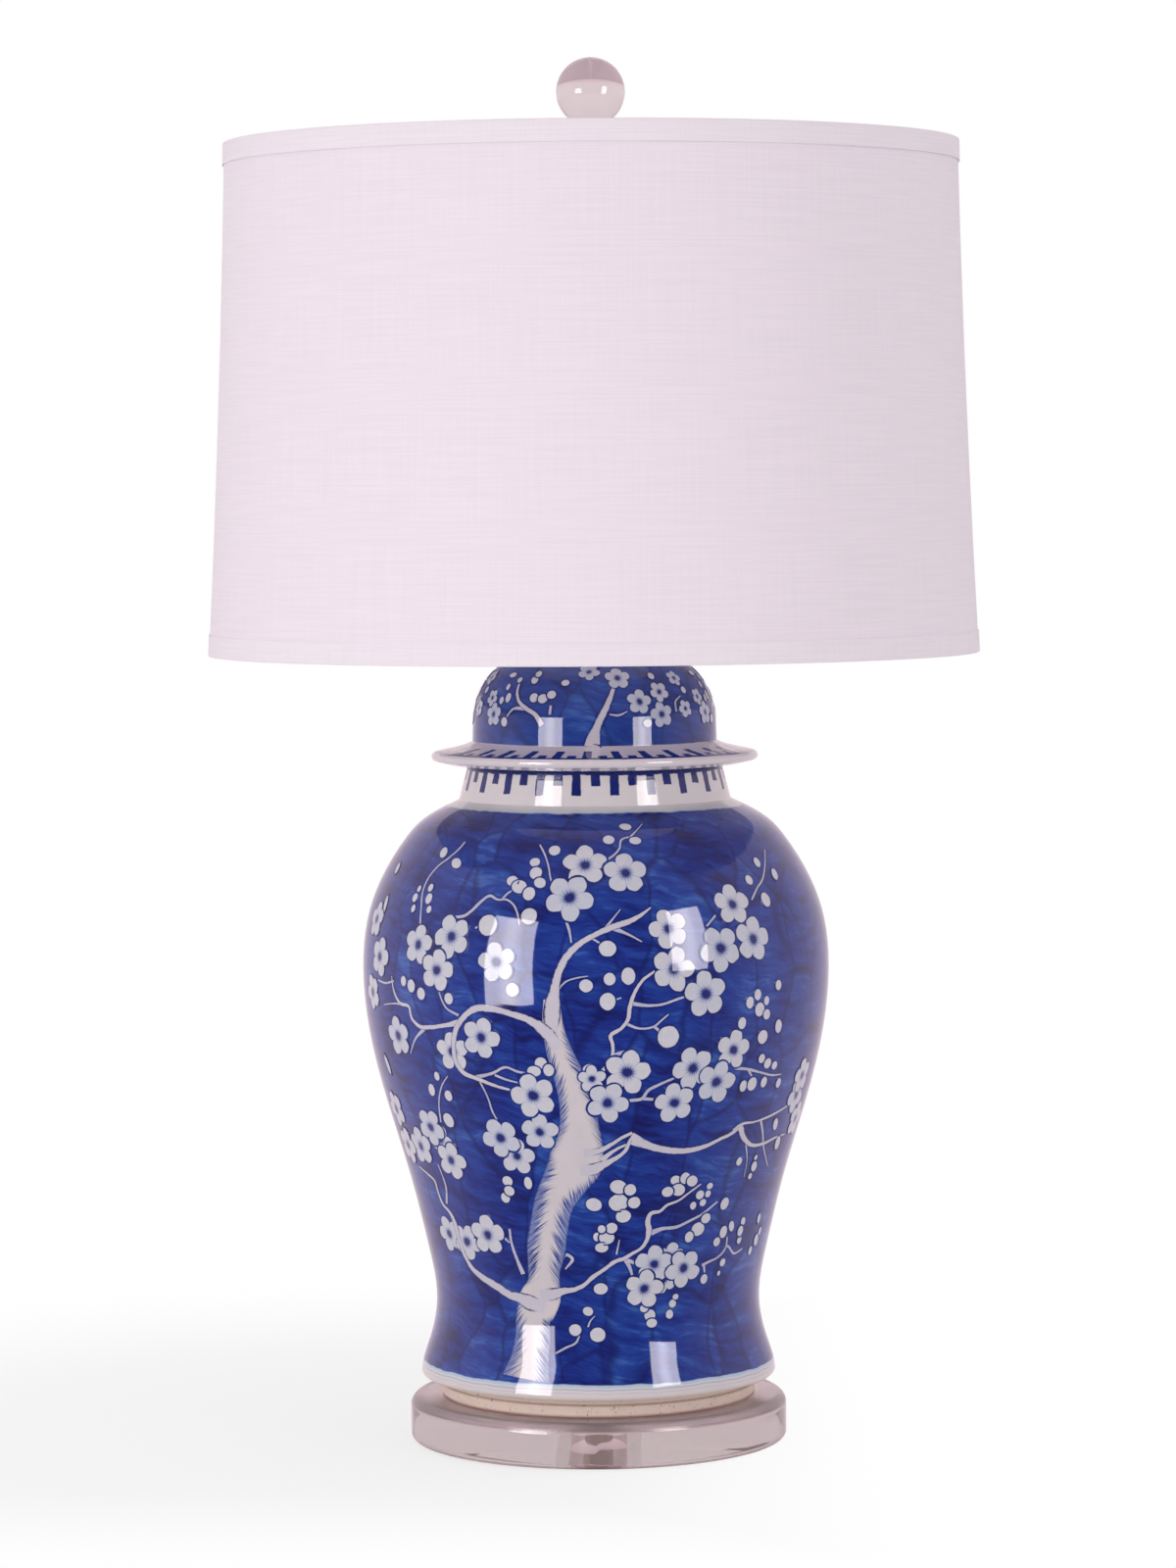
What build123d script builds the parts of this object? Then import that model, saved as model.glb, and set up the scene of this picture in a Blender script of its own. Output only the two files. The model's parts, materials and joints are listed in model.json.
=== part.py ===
"""Temple-jar table lamp: acrylic foot, porcelain jar and lid, brass lampholder, detachable harp, drum shade.

Millimetres, +Z up, front is -Y. The origin is the middle of the lamp's footprint, on the table.
Every function makes one separate piece of the real lamp and returns it where it sits.
"""
import math
import os

from build123d import *

# ---------------------------------------------------------------- driving dimensions
PAD_HEIGHT = 0.8              # clear bumper pads under the acrylic foot
BASE_THICKNESS = 25.4
BASE_RADIUS = 106.0
JAR_HEIGHT = 354.8            # foot ring to rim of the neck
BELLY_RADIUS = 130.9
WAIST_RADIUS = 91.0
NECK_RADIUS = 71.6            # at the rim
LID_FLANGE_RADIUS = 91.6
LID_HEIGHT = 67.6             # flange underside to the ground flat on top
SHADE_BOTTOM_RADIUS = 215.3
SHADE_TOP_RADIUS = 204.0
SHADE_HEIGHT = 284.2
SHADE_BOW = 1.1               # how far the sides draw in between the two rings
FINIAL_BALL_RADIUS = 19.2
SHELL_INNER_RADIUS = 13.3     # medium screw lampholder
PIPE_RADIUS = 4.85            # 1/8 IP lamp pipe
WALL = 6.0                    # porcelain

# ---------------------------------------------------------------- heights up the axis
BASE_TOP = PAD_HEIGHT + BASE_THICKNESS
JAR_RIM = BASE_TOP + JAR_HEIGHT
LID_TOP = JAR_RIM + LID_HEIGHT
VASE_CAP_TOP = LID_TOP + 8.4
NECK_TOP = VASE_CAP_TOP + 11.0
SADDLE_THICKNESS = 1.6
HOLDER_Z = NECK_TOP + SADDLE_THICKNESS         # underside of the lampholder cap
LEDGE_Z = HOLDER_Z + 20.4                      # ledge in the cap that the shell stands on
SHELL_TOP = LEDGE_Z + 50.0
KEY_Z = LEDGE_Z + 14.0                         # axis of the turn key
SHOULDER_Z = NECK_TOP + 8.0                    # top of the saddle's shoulders
HARP_TOP = SHOULDER_Z + 231.5                  # axis of the wire where it enters the bridge
SEAT_Z = HARP_TOP + 7.5                        # the shade stands here
HUB_THICKNESS = 1.8
HUB_TOP = SEAT_Z + HUB_THICKNESS
SHADE_TOP = SEAT_Z + 12.7                      # the usual half-inch drop
SHADE_BOTTOM = SHADE_TOP - SHADE_HEIGHT
BALL_SEAT = HUB_TOP + 21.3

# ---------------------------------------------------------------- small fits
RUNNING = 0.05                # radial clearance of a turning fit
LIFT_GAP = 0.3                # between pieces that lift apart
SEAT_GAP = 0.1                # between faces that turn on each other


def at(radius, height):
    """A point of a turned outline, in the XZ plane."""
    return (radius, 0, height)


def turned(*edges):
    """The solid of revolution about Z of a closed outline."""
    return revolve(make_face(Curve() + list(edges)), Axis.Z)


def polygon(*points):
    """A turned solid whose outline is straight between (radius, height) points."""
    corners = [at(*p) for p in points]
    return revolve(make_face(Polyline(*corners, close=True)), Axis.Z)


def rod(radius, low, high):
    """A round bar on the Z axis from one height to another."""
    return Pos(0, 0, low) * extrude(Circle(radius), high - low)


def along_y(radius, y_from, y_to, z):
    """A round bar parallel to Y."""
    return Pos(0, y_to, z) * Rot(90, 0, 0) * extrude(Circle(radius), y_to - y_from)


def inset(points, wall):
    """The same outline moved inwards by the wall, square to the chord through each point's neighbours."""
    moved = []
    for i, (radius, height) in enumerate(points):
        before = points[max(i - 1, 0)]
        after = points[min(i + 1, len(points) - 1)]
        run, rise = after[0] - before[0], after[1] - before[1]
        length = math.hypot(run, rise)
        moved.append((radius - wall * rise / length, height + wall * run / length))
    return moved


# ---------------------------------------------------------------- foot
COUNTERBORE_RADIUS = 16.0
COUNTERBORE_DEPTH = 9.0
BASE_BORE_RADIUS = 12.7
GLAND_Z = 8.6
GLAND_RADIUS = 3.75
GLAND_BORE = 2.7
GLAND_FLANGE_RADIUS = 5.2
SPOT_FACE_Y = BASE_RADIUS - 1.0
WASHER_Z = PAD_HEIGHT + COUNTERBORE_DEPTH
WASHER_THICKNESS = 2.0
NUT_HEIGHT = 5.5
NUT_ACROSS_FLATS = 14.3
PIPE_BOTTOM = WASHER_Z - WASHER_THICKNESS - NUT_HEIGHT - 0.5


def bumper_pads():
    """Four clear pads that keep the acrylic off the table."""
    pad = fillet(extrude(Circle(6.0), PAD_HEIGHT).edges().group_by(Axis.Z)[0], 0.3)
    return Part() + [place * pad for place in PolarLocations(86.0, 4, 45.0)]


def acrylic_base():
    """The clear disc: polished rounded rims, a stepped hole for the pipe and a drilled way out for the lead."""
    disc = rod(BASE_RADIUS, PAD_HEIGHT, BASE_TOP)
    disc = fillet(disc.edges().group_by(Axis.Z)[-1], 6.5)
    disc = fillet(disc.edges().group_by(Axis.Z)[0], 4.0)
    disc -= rod(BASE_BORE_RADIUS, PAD_HEIGHT, BASE_TOP)
    disc -= rod(COUNTERBORE_RADIUS, PAD_HEIGHT, WASHER_Z)
    disc -= along_y(GLAND_RADIUS, COUNTERBORE_RADIUS - 2, BASE_RADIUS + 1, GLAND_Z)
    disc -= along_y(GLAND_FLANGE_RADIUS + 0.2, SPOT_FACE_Y, BASE_RADIUS + 1, GLAND_Z)
    return disc


def lead_gland():
    """The bush that lines the lead's way out at the back."""
    bush = along_y(GLAND_RADIUS, SPOT_FACE_Y - 9.0, SPOT_FACE_Y, GLAND_Z)
    flange = along_y(GLAND_FLANGE_RADIUS, SPOT_FACE_Y, SPOT_FACE_Y + 1.6, GLAND_Z)
    flange = fillet(flange.edges().group_by(Axis.Y)[-1], 0.6)
    return bush + flange - along_y(GLAND_BORE, 0, BASE_RADIUS + 5, GLAND_Z)


def clamp_washer():
    """The wide washer that bears on the step of the acrylic."""
    bottom = WASHER_Z - WASHER_THICKNESS
    return rod(15.2, bottom, WASHER_Z) - rod(PIPE_RADIUS + 0.3, bottom, WASHER_Z)


def clamp_nut():
    """The hex nut that draws the whole column together."""
    top = WASHER_Z - WASHER_THICKNESS
    hexagon = RegularPolygon(NUT_ACROSS_FLATS / 2, 6, major_radius=False)
    blank = Pos(0, 0, top - NUT_HEIGHT) * extrude(hexagon, NUT_HEIGHT)
    crown = polygon((0, top), (8.1, top), (8.1, top - NUT_HEIGHT + 0.9), (6.8, top - NUT_HEIGHT), (0, top - NUT_HEIGHT))
    return (blank & crown) - rod(PIPE_RADIUS, top - NUT_HEIGHT, top)


# ---------------------------------------------------------------- porcelain
FOOT_RING_RADIUS = 88.0
FOOT_FLARE_RADIUS = 99.8
FOOT_FLARE_Z = BASE_TOP + 14.2
NECK_ROOT_RADIUS = 76.2
NECK_ROOT_Z = JAR_RIM - 19.0
MOUTH_RADIUS = 63.4
BODY_OUTLINE = [
    (FOOT_FLARE_RADIUS, FOOT_FLARE_Z),
    (95.5, BASE_TOP + 30.0),
    (WAIST_RADIUS, BASE_TOP + 53.0),
    (95.2, BASE_TOP + 83.0),
    (104.7, BASE_TOP + 122.0),
    (123.0, BASE_TOP + 184.5),
    (BELLY_RADIUS, BASE_TOP + 238.0),
    (124.2, BASE_TOP + 282.5),
    (105.6, BASE_TOP + 315.2),
    (NECK_ROOT_RADIUS + 2.4, NECK_ROOT_Z - 1.4),
]
JAR_HOLE = 6.5
LID_HOLE = 5.4


def porcelain_jar():
    """The baluster jar: bare foot ring, glazed body, short flaring neck, one drilled hole in the floor."""
    outer = Spline([at(*p) for p in BODY_OUTLINE], tangents=[(-0.1, 0, 1), (-1, 0, 0.45)])
    inner_points = inset(BODY_OUTLINE, WALL)
    floor_top = BASE_TOP + 13.0
    inner_points[0] = (82.0, floor_top)
    inner = Spline([at(*p) for p in inner_points])
    foot = Polyline(
        at(JAR_HOLE, floor_top - WALL),
        at(80.5, floor_top - WALL),
        at(81.5, BASE_TOP),
        at(FOOT_RING_RADIUS - 0.8, BASE_TOP),
        at(FOOT_RING_RADIUS, BASE_TOP + 0.8),
        at(FOOT_RING_RADIUS + 0.4, BASE_TOP + 6.4),
        at(FOOT_RING_RADIUS - 0.2, BASE_TOP + 7.1),
        at(FOOT_RING_RADIUS + 0.6, BASE_TOP + 7.8),
        at(FOOT_RING_RADIUS + 1.4, BASE_TOP + 10.4),
        at(FOOT_FLARE_RADIUS - 2.2, BASE_TOP + 11.2),
    )
    glaze_edge = ThreePointArc(
        at(FOOT_FLARE_RADIUS - 2.2, BASE_TOP + 11.2),
        at(FOOT_FLARE_RADIUS - 0.6, BASE_TOP + 12.2),
        at(*BODY_OUTLINE[0]),
    )
    neck = Polyline(
        at(*BODY_OUTLINE[-1]),
        at(NECK_ROOT_RADIUS, NECK_ROOT_Z),
        at(73.9, JAR_RIM - 10.0),
        at(NECK_RADIUS, JAR_RIM - 1.0),
        at(NECK_RADIUS - 1.0, JAR_RIM),
        at(MOUTH_RADIUS + 0.8, JAR_RIM),
        at(MOUTH_RADIUS, JAR_RIM - 0.8),
        at(MOUTH_RADIUS + 2.5, NECK_ROOT_Z + 1.0),
        at(*inner_points[-1]),
    )
    floor = Polyline(at(*inner_points[0]), at(JAR_HOLE, floor_top), at(JAR_HOLE, floor_top - WALL))
    return turned(foot, glaze_edge, outer, neck, inner, floor)


LID_DOME_RADIUS = 68.3
LID_FLAT_RADIUS = 24.0
DOME_OUTLINE = [
    (LID_DOME_RADIUS, JAR_RIM + 23.5),
    (66.5, JAR_RIM + 35.6),
    (60.8, JAR_RIM + 47.8),
    (50.5, JAR_RIM + 57.6),
    (38.0, JAR_RIM + 64.2),
    (LID_FLAT_RADIUS, LID_TOP),
]


def porcelain_lid():
    """The domed lid: a thin-edged flange over the rim, a ring that drops inside the mouth, a ground flat on top."""
    dome_root = at(LID_DOME_RADIUS + 0.3, JAR_RIM + 13.4)
    outer = Spline([at(*p) for p in DOME_OUTLINE], tangents=[(0, 0, 1), (-1, 0, 0.12)])
    inner_points = inset(DOME_OUTLINE, WALL - 0.8)
    inner = Spline([at(*p) for p in inner_points])
    side = Line(dome_root, at(*DOME_OUTLINE[0]))
    top = Polyline(
        at(*DOME_OUTLINE[-1]),
        at(LID_HOLE, LID_TOP),
        at(LID_HOLE, LID_TOP - WALL + 0.8),
        at(*inner_points[-1]),
    )
    drop_ring = Polyline(
        at(*inner_points[0]),
        at(inner_points[0][0], JAR_RIM + 8.0),
        at(57.2, JAR_RIM + 3.0),
        at(57.2, JAR_RIM - 9.2),
        at(58.0, JAR_RIM - 10.0),
        at(61.4, JAR_RIM - 10.0),
        at(62.6, JAR_RIM - 8.4),
        at(62.6, JAR_RIM),
        at(74.0, JAR_RIM),
    )
    tip = LID_FLANGE_RADIUS
    under = ThreePointArc(at(74.0, JAR_RIM), at(81.5, JAR_RIM + 0.7), at(tip - 3.0, JAR_RIM + 2.6))
    rim = ThreePointArc(at(tip - 3.0, JAR_RIM + 2.6), at(tip, JAR_RIM + 5.0), at(tip - 2.0, JAR_RIM + 7.5))
    flange = Spline(at(tip - 2.0, JAR_RIM + 7.5), at(80.5, JAR_RIM + 9.5), at(73.0, JAR_RIM + 11.5), dome_root)
    return turned(outer, top, inner, drop_ring, under, rim, flange, side)


# ---------------------------------------------------------------- column and lampholder
def lamp_pipe():
    """The threaded tube that runs from the nut in the foot up into the lampholder cap."""
    low, high = PIPE_BOTTOM, HOLDER_Z + 8.6
    return rod(PIPE_RADIUS, low, high) - rod(3.3, low, high)


def vase_cap():
    """A spun cap over the hole in the lid."""
    bottom, top = LID_TOP, VASE_CAP_TOP
    skin = 1.2
    curl = ThreePointArc(at(22.4, bottom), at(23.6, bottom + 1.3), at(22.4, bottom + 2.6))
    ogee = Spline(at(22.4, bottom + 2.6), at(15.0, bottom + 5.2), at(10.6, top), tangents=[(-1, 0, 0.1), (-0.3, 0, 1)])
    inside = Polyline(
        at(10.6, top),
        at(PIPE_RADIUS + 0.15, top),
        at(PIPE_RADIUS + 0.15, top - skin),
        at(9.2, top - skin),
        at(13.6, bottom + 3.6),
        at(20.6, bottom + 1.4),
        at(20.6, bottom),
        at(22.4, bottom),
    )
    return turned(curl, ogee, inside)


def brass_neck():
    """The turned spacer between the cap and the harp saddle."""
    low, high = VASE_CAP_TOP, NECK_TOP
    middle = (low + high) / 2
    outline = [
        Line(at(PIPE_RADIUS + 0.15, low), at(9.4, low)),
        ThreePointArc(at(9.4, low), at(10.4, low + 1.2), at(9.0, low + 2.4)),
        ThreePointArc(at(9.0, low + 2.4), at(7.4, middle), at(9.0, high - 2.4)),
        ThreePointArc(at(9.0, high - 2.4), at(10.4, high - 1.2), at(9.4, high)),
        Polyline(at(9.4, high), at(PIPE_RADIUS + 0.15, high), at(PIPE_RADIUS + 0.15, low)),
    ]
    return turned(*outline)


ARM_X = 31.0                  # the harp's feet
POST_RADIUS = 1.9
POST_HEIGHT = 12.0


def half_round(side, radius, low, high, gap):
    """Half of a round bar at x = 0: the half on the given side of x, less the gap."""
    bar = rod(radius, low, high)
    keep = Pos(side * (gap + radius), 0, (low + high) / 2) * Box(2 * radius, 3 * radius, high - low)
    return bar & keep


def harp_saddle():
    """The bent strip under the lampholder, with a half-round post at each end for the harp's feet."""
    low, high = NECK_TOP, NECK_TOP + SADDLE_THICKNESS
    knee = 21.0
    rise = SHOULDER_Z - 3.0 - low
    strip = [
        (-ARM_X - 2.2, low + rise), (-knee - 1.0, low), (knee + 1.0, low), (ARM_X + 2.2, low + rise),
        (ARM_X + 2.2, high + rise), (ARM_X - 0.6, high + rise), (knee, high), (-knee, high),
        (-ARM_X + 0.6, high + rise), (-ARM_X - 2.2, high + rise),
    ]
    blank = make_face(Polyline([at(*p) for p in strip], close=True))
    body = extrude(blank, 5.5, both=True)
    body += rod(12.5, low, high)
    for side in (-1, 1):
        foot = rod(3.9, SHOULDER_Z - 3.0, SHOULDER_Z)
        post = half_round(-side, POST_RADIUS, SHOULDER_Z, SHOULDER_Z + POST_HEIGHT, 0.0)
        body += Pos(side * ARM_X, 0, 0) * (foot + post)
    return body - rod(PIPE_RADIUS, low, high)


CAP_SKIRT_RADIUS = 18.1
SHELL_RADIUS = 17.2
SHELL_WALL = 0.6
LINER_RADIUS = SHELL_RADIUS - SHELL_WALL
LINER_WALL = 0.7
BODY_RADIUS = LINER_RADIUS - LINER_WALL
BLOCK_TOP = LEDGE_Z + 23.0    # the lampholder's moulded block, up to the contact's floor
KEY_SHAFT_RADIUS = 2.0


def holder_cap():
    """The lampholder's lower cup, screwed on the pipe."""
    low = HOLDER_Z
    swell = Spline(
        at(8.0, low + 6.5), at(13.6, low + 11.4), at(CAP_SKIRT_RADIUS, low + 19.0), tangents=[(0.5, 0, 1), (0, 0, 1)]
    )
    shape = Polyline(
        at(CAP_SKIRT_RADIUS, low + 19.0),
        at(CAP_SKIRT_RADIUS, LEDGE_Z + 7.0),
        at(SHELL_RADIUS, LEDGE_Z + 7.0),
        at(SHELL_RADIUS, LEDGE_Z),
        at(14.2, LEDGE_Z),
        at(12.0, low + 14.0),
        at(PIPE_RADIUS, low + 9.0),
        at(PIPE_RADIUS, low),
        at(8.0, low),
        at(8.0, low + 6.5),
    )
    return turned(swell, shape) - Pos(0, 0, low + 4.0) * Rot(90, 0, 0) * extrude(Circle(1.5), 10.0)


def cap_grub_screw():
    """The small screw through the cap's hub that stops it turning on the pipe."""
    screw = along_y(1.5, -9.4, -PIPE_RADIUS, HOLDER_Z + 4.0)
    slot = Pos(0, -9.4, HOLDER_Z + 4.0) * Box(3.2, 1.2, 0.6)
    return screw - slot


def holder_shell():
    """The drawn shell, with a rolled lip and a hole for the turn key."""
    lip = ThreePointArc(
        at(SHELL_RADIUS, SHELL_TOP - 3.2), at(SHELL_RADIUS + 0.9, SHELL_TOP - 1.4), at(SHELL_RADIUS - 0.1, SHELL_TOP)
    )
    tube = Polyline(
        at(SHELL_RADIUS - 0.1, SHELL_TOP),
        at(LINER_RADIUS, SHELL_TOP),
        at(LINER_RADIUS, LEDGE_Z),
        at(SHELL_RADIUS, LEDGE_Z),
        at(SHELL_RADIUS, SHELL_TOP - 3.2),
    )
    return turned(lip, tube) - along_y(3.4, -SHELL_RADIUS - 2, 0, KEY_Z)


def shell_liner():
    """The card sleeve inside the shell."""
    tube = rod(LINER_RADIUS, LEDGE_Z, SHELL_TOP - 1.0) - rod(BODY_RADIUS, LEDGE_Z, SHELL_TOP - 1.0)
    return tube - along_y(3.4, -SHELL_RADIUS - 2, 0, KEY_Z)


def holder_block():
    """The moulded block: a floor for the contact, a collar round the screw shell, pockets for the terminals."""
    collar_top = BLOCK_TOP + 9.0
    block = rod(BODY_RADIUS, LEDGE_Z, collar_top)
    block -= rod(SHELL_INNER_RADIUS + 0.5, BLOCK_TOP, collar_top)
    block -= along_y(KEY_SHAFT_RADIUS + RUNNING, -BODY_RADIUS - 1, -5.0, KEY_Z)
    for side in (-1, 1):
        pocket = Pos(side * BODY_RADIUS, 0, LEDGE_Z + 6.0) * Box(9.0, 8.0, 8.0)
        block -= pocket
    return block


def terminal_screws():
    """The two screws that the lead's ends go under."""
    head = extrude(Circle(2.8), 1.8) - Pos(0, 0, 1.8) * Box(6.0, 0.7, 1.2)
    screw = Pos(BODY_RADIUS - 4.5, 0, LEDGE_Z + 6.0) * Rot(0, 90, 0) * head
    return Part() + [screw, Rot(0, 0, 180) * screw]


def screw_shell():
    """The threaded sleeve that the bulb turns into."""
    low, high = BLOCK_TOP + 4.0, BLOCK_TOP + 24.0
    outer = SHELL_INNER_RADIUS + 0.5
    lip = ThreePointArc(at(outer, high - 1.6), at(outer + 0.7, high - 0.6), at(outer, high))
    wall = Polyline(
        at(outer, high), at(SHELL_INNER_RADIUS, high), at(SHELL_INNER_RADIUS, low), at(outer, low), at(outer, high - 1.6)
    )
    return turned(lip, wall)


def centre_contact():
    """The sprung tongue under the bulb's tip."""
    leaf = [(10.0, BLOCK_TOP), (10.0, BLOCK_TOP + 0.5), (4.0, BLOCK_TOP + 0.7), (-2.6, BLOCK_TOP + 3.2),
            (-3.4, BLOCK_TOP + 2.7), (4.0, BLOCK_TOP)]
    return extrude(make_face(Polyline([at(*p) for p in leaf], close=True)), 2.4, both=True)


# ---------------------------------------------------------------- turn key
KEY_TIP_Y = -40.0
KNOB_BACK_Y = -24.5


def key_shaft():
    """The brass spindle of the switch."""
    return along_y(KEY_SHAFT_RADIUS, KNOB_BACK_Y - 9.0, -6.5, KEY_Z)


def key_knob():
    """The moulded knob: a waisted turning with finger flutes, bored for the spindle."""
    length = KNOB_BACK_Y - KEY_TIP_Y
    outline = [
        Line(at(0, 0), at(4.2, 0)),
        Spline(at(4.2, 0), at(4.0, 3.0), at(7.4, 6.6), tangents=[(0, 0, 1), (0.4, 0, 1)]),
        Line(at(7.4, 6.6), at(7.2, length - 2.4)),
        ThreePointArc(at(7.2, length - 2.4), at(6.2, length - 0.6), at(3.8, length)),
        Line(at(3.8, length), at(0, length)),
        Line(at(0, length), at(0, 0)),
    ]
    knob = turned(*outline)
    flute = Pos(8.1, 0, 5.4) * extrude(Circle(1.5), length)
    knob -= [Rot(0, 0, 360 * i / 8) * flute for i in range(8)]
    knob -= rod(KEY_SHAFT_RADIUS, 0, 9.0)
    return Pos(0, KNOB_BACK_Y, KEY_Z) * Rot(90, 0, 0) * knob


# ---------------------------------------------------------------- harp
HARP_WIRE = 2.0
LEG_Z = SHOULDER_Z + POST_HEIGHT + 0.6
BRIDGE_HALF = 12.0
HARP_OUTLINE = [
    (ARM_X, LEG_Z), (ARM_X, LEG_Z + 24.0), (55.5, LEG_Z + 84.0), (58.0, LEG_Z + 145.0),
    (49.0, LEG_Z + 197.0), (27.0, HARP_TOP), (BRIDGE_HALF - 5.0, HARP_TOP),
]
HARP_BENDS = [52.0, 120.0, 120.0, 42.0, 20.0]


def harp_bow():
    """The two sprung wires, each half-rounded at the foot to lie beside the saddle's post."""
    path = FilletPolyline(*[at(*p) for p in HARP_OUTLINE], radius=HARP_BENDS)
    section = Plane(origin=at(ARM_X, LEG_Z), z_dir=(0, 0, 1)) * Circle(HARP_WIRE)
    wire = sweep(section, path)
    foot = half_round(1, POST_RADIUS, SHOULDER_Z + LIFT_GAP, LEG_Z, LIFT_GAP)
    right = wire + Pos(ARM_X, 0, 0) * foot
    return Part() + [right, mirror(right, Plane.YZ)]


def harp_bridge():
    """The crimped block that joins the wires and carries the swivelling stud."""
    block = Pos(0, 0, HARP_TOP) * Box(2 * BRIDGE_HALF, 8.4, 7.4)
    block = fillet(block.edges().filter_by(Axis.Y), 2.4)
    block = fillet(block.edges().filter_by(Axis.X), 1.0)
    for side in (-1, 1):
        middle = side * (2 * BRIDGE_HALF - 5.0) / 2
        block -= Pos(middle, 0, HARP_TOP) * Rot(0, 90, 0) * extrude(Circle(HARP_WIRE), (BRIDGE_HALF - 5.0 + 5.0) / 2, both=True)
    return block - rod(2.6, HARP_TOP - 5, HARP_TOP + 5)


def ferrule(side):
    """The sleeve that drops over a foot of the harp and locks it to the saddle."""
    low = SHOULDER_Z + 0.2
    bore = HARP_WIRE + LIFT_GAP
    high = low + 14.0
    lip = ThreePointArc(at(3.4, low), at(4.3, low + 1.1), at(3.4, low + 2.2))
    waist = ThreePointArc(at(3.4, low + 2.2), at(3.15, low + 7.0), at(3.4, high - 1.0))
    rest = Polyline(at(3.4, high - 1.0), at(2.8, high), at(bore, high), at(bore, low), at(3.4, low))
    return Pos(side * ARM_X, 0, 0) * turned(lip, waist, rest)


def harp_stud():
    """The swivelling stud: a riveted tail under the bridge, a seat for the shade and a thread for the finial."""
    top = SEAT_Z + 14.0
    under, over = HARP_TOP - 3.7 - 0.15, HARP_TOP + 3.7 + 0.15
    return polygon(
        (0, under - 1.6), (3.6, under - 1.6), (4.2, under - 0.8), (4.2, under), (2.5, under), (2.5, over),
        (9.0, over), (9.5, over + 0.6), (9.5, SEAT_Z - 0.6), (9.0, SEAT_Z), (3.05, SEAT_Z), (3.05, top - 0.6),
        (2.5, top), (0, top),
    )


# ---------------------------------------------------------------- shade
CLOTH = 0.7
LINER = 0.8
RING_WIRE = 1.8
HEM = 12.0
HEM_CLOTH = 0.7
EDGE_GAP = 0.8                # the hem's fold over the edge
DROP_BEND = 7.0


def cloth_radius(height):
    """Outer radius of the cloth at a height: a straight taper, drawn in by a shallow parabola."""
    share = (height - SHADE_BOTTOM) / SHADE_HEIGHT
    straight = SHADE_BOTTOM_RADIUS + (SHADE_TOP_RADIUS - SHADE_BOTTOM_RADIUS) * share
    return straight - SHADE_BOW * 4 * share * (1 - share)


def drum(outside, inside, low, high):
    """A thin wall that follows the cloth's outline between two depths under its surface."""
    middle = (low + high) / 2

    def wall_line(depth):
        ends = [at(cloth_radius(z) - depth, z) for z in (low, middle, high)]
        return ThreePointArc(*ends)

    outer, inner = wall_line(outside), wall_line(inside)
    return turned(outer, Line(outer @ 1, inner @ 1), inner, Line(inner @ 0, outer @ 0))


def shade_cloth():
    """The linen, laid round the liner and lapped at the back."""
    low, high = SHADE_BOTTOM + EDGE_GAP, SHADE_TOP - EDGE_GAP
    cloth = drum(0, CLOTH, low, high)
    lap_low, lap_high = SHADE_BOTTOM + HEM, SHADE_TOP - HEM
    lap = drum(-0.5, CLOTH / 2, lap_low, lap_high)
    back = Pos(0, SHADE_BOTTOM_RADIUS, (lap_low + lap_high) / 2) * Box(12.0, 60.0, lap_high - lap_low)
    return cloth + (lap & back)


def shade_liner():
    """The stiff styrene drum that the linen is laid on."""
    return drum(CLOTH, CLOTH + LINER, SHADE_BOTTOM + EDGE_GAP, SHADE_TOP - EDGE_GAP)


def ring_radius(height):
    """Centre-line radius of a wire ring that lies just inside the liner."""
    return cloth_radius(height) - CLOTH - LINER - RING_WIRE - 0.1


def wire_ring(height):
    """A welded wire hoop."""
    return Pos(0, 0, height) * Torus(ring_radius(height), RING_WIRE)


TOP_RING_Z = SHADE_TOP - EDGE_GAP - RING_WIRE - 0.1
BOTTOM_RING_Z = SHADE_BOTTOM + EDGE_GAP + RING_WIRE + 0.1


def hem_tape(edge, inwards):
    """Linen tape folded round a ring and the drum's edge. edge is its height, inwards is +1 for the bottom edge."""
    outer_end = edge + inwards * HEM
    inner_end = edge + inwards * (HEM - 3.0)
    ring_z = edge + inwards * (EDGE_GAP + RING_WIRE + 0.1)
    inner_radius = ring_radius(ring_z) - RING_WIRE - 0.1
    fold = edge + inwards * EDGE_GAP
    outside = [(cloth_radius(z) + HEM_CLOTH, z) for z in (outer_end, edge + inwards * 0.7)]
    points = [
        (cloth_radius(outer_end), outer_end),
        *outside,
        (outside[-1][0] - 0.7, edge),
        (inner_radius - HEM_CLOTH + 0.6, edge),
        (inner_radius - HEM_CLOTH, edge + inwards * 0.6),
        (inner_radius - HEM_CLOTH, inner_end),
        (inner_radius, inner_end),
        (inner_radius, fold),
        (cloth_radius(fold), fold),
    ]
    return polygon(*points)


HUB_RADIUS = 14.0
ARM_COUNT = 3
ARM_WIRE = 1.8


def spider_hub():
    """The washer that the finial clamps on the stud."""
    return polygon(
        (3.35, SEAT_Z), (HUB_RADIUS, SEAT_Z), (HUB_RADIUS, HUB_TOP), (3.35, HUB_TOP),
    )


def spider_arms():
    """Three wires welded on the hub, level as far as the drop bend, then rising to the ring they are coped over."""
    level = HUB_TOP + ARM_WIRE
    start = at(HUB_RADIUS - 3.4, level)
    ring = ring_radius(TOP_RING_Z)
    path = FilletPolyline(start, at(ring - 12.0, level), at(ring, TOP_RING_Z), radius=DROP_BEND)
    section = Plane(origin=start, z_dir=(1, 0, 0)) * Circle(ARM_WIRE)
    arm = sweep(section, path) - wire_ring(TOP_RING_Z)
    arm = arm.solids().sort_by(SortBy.VOLUME)[-1]
    return Part() + [Rot(0, 0, 90 + 360 * i / ARM_COUNT) * arm for i in range(ARM_COUNT)]


# ---------------------------------------------------------------- finial
SPIGOT_RADIUS = 2.4
SPIGOT_HEIGHT = 4.5


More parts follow.
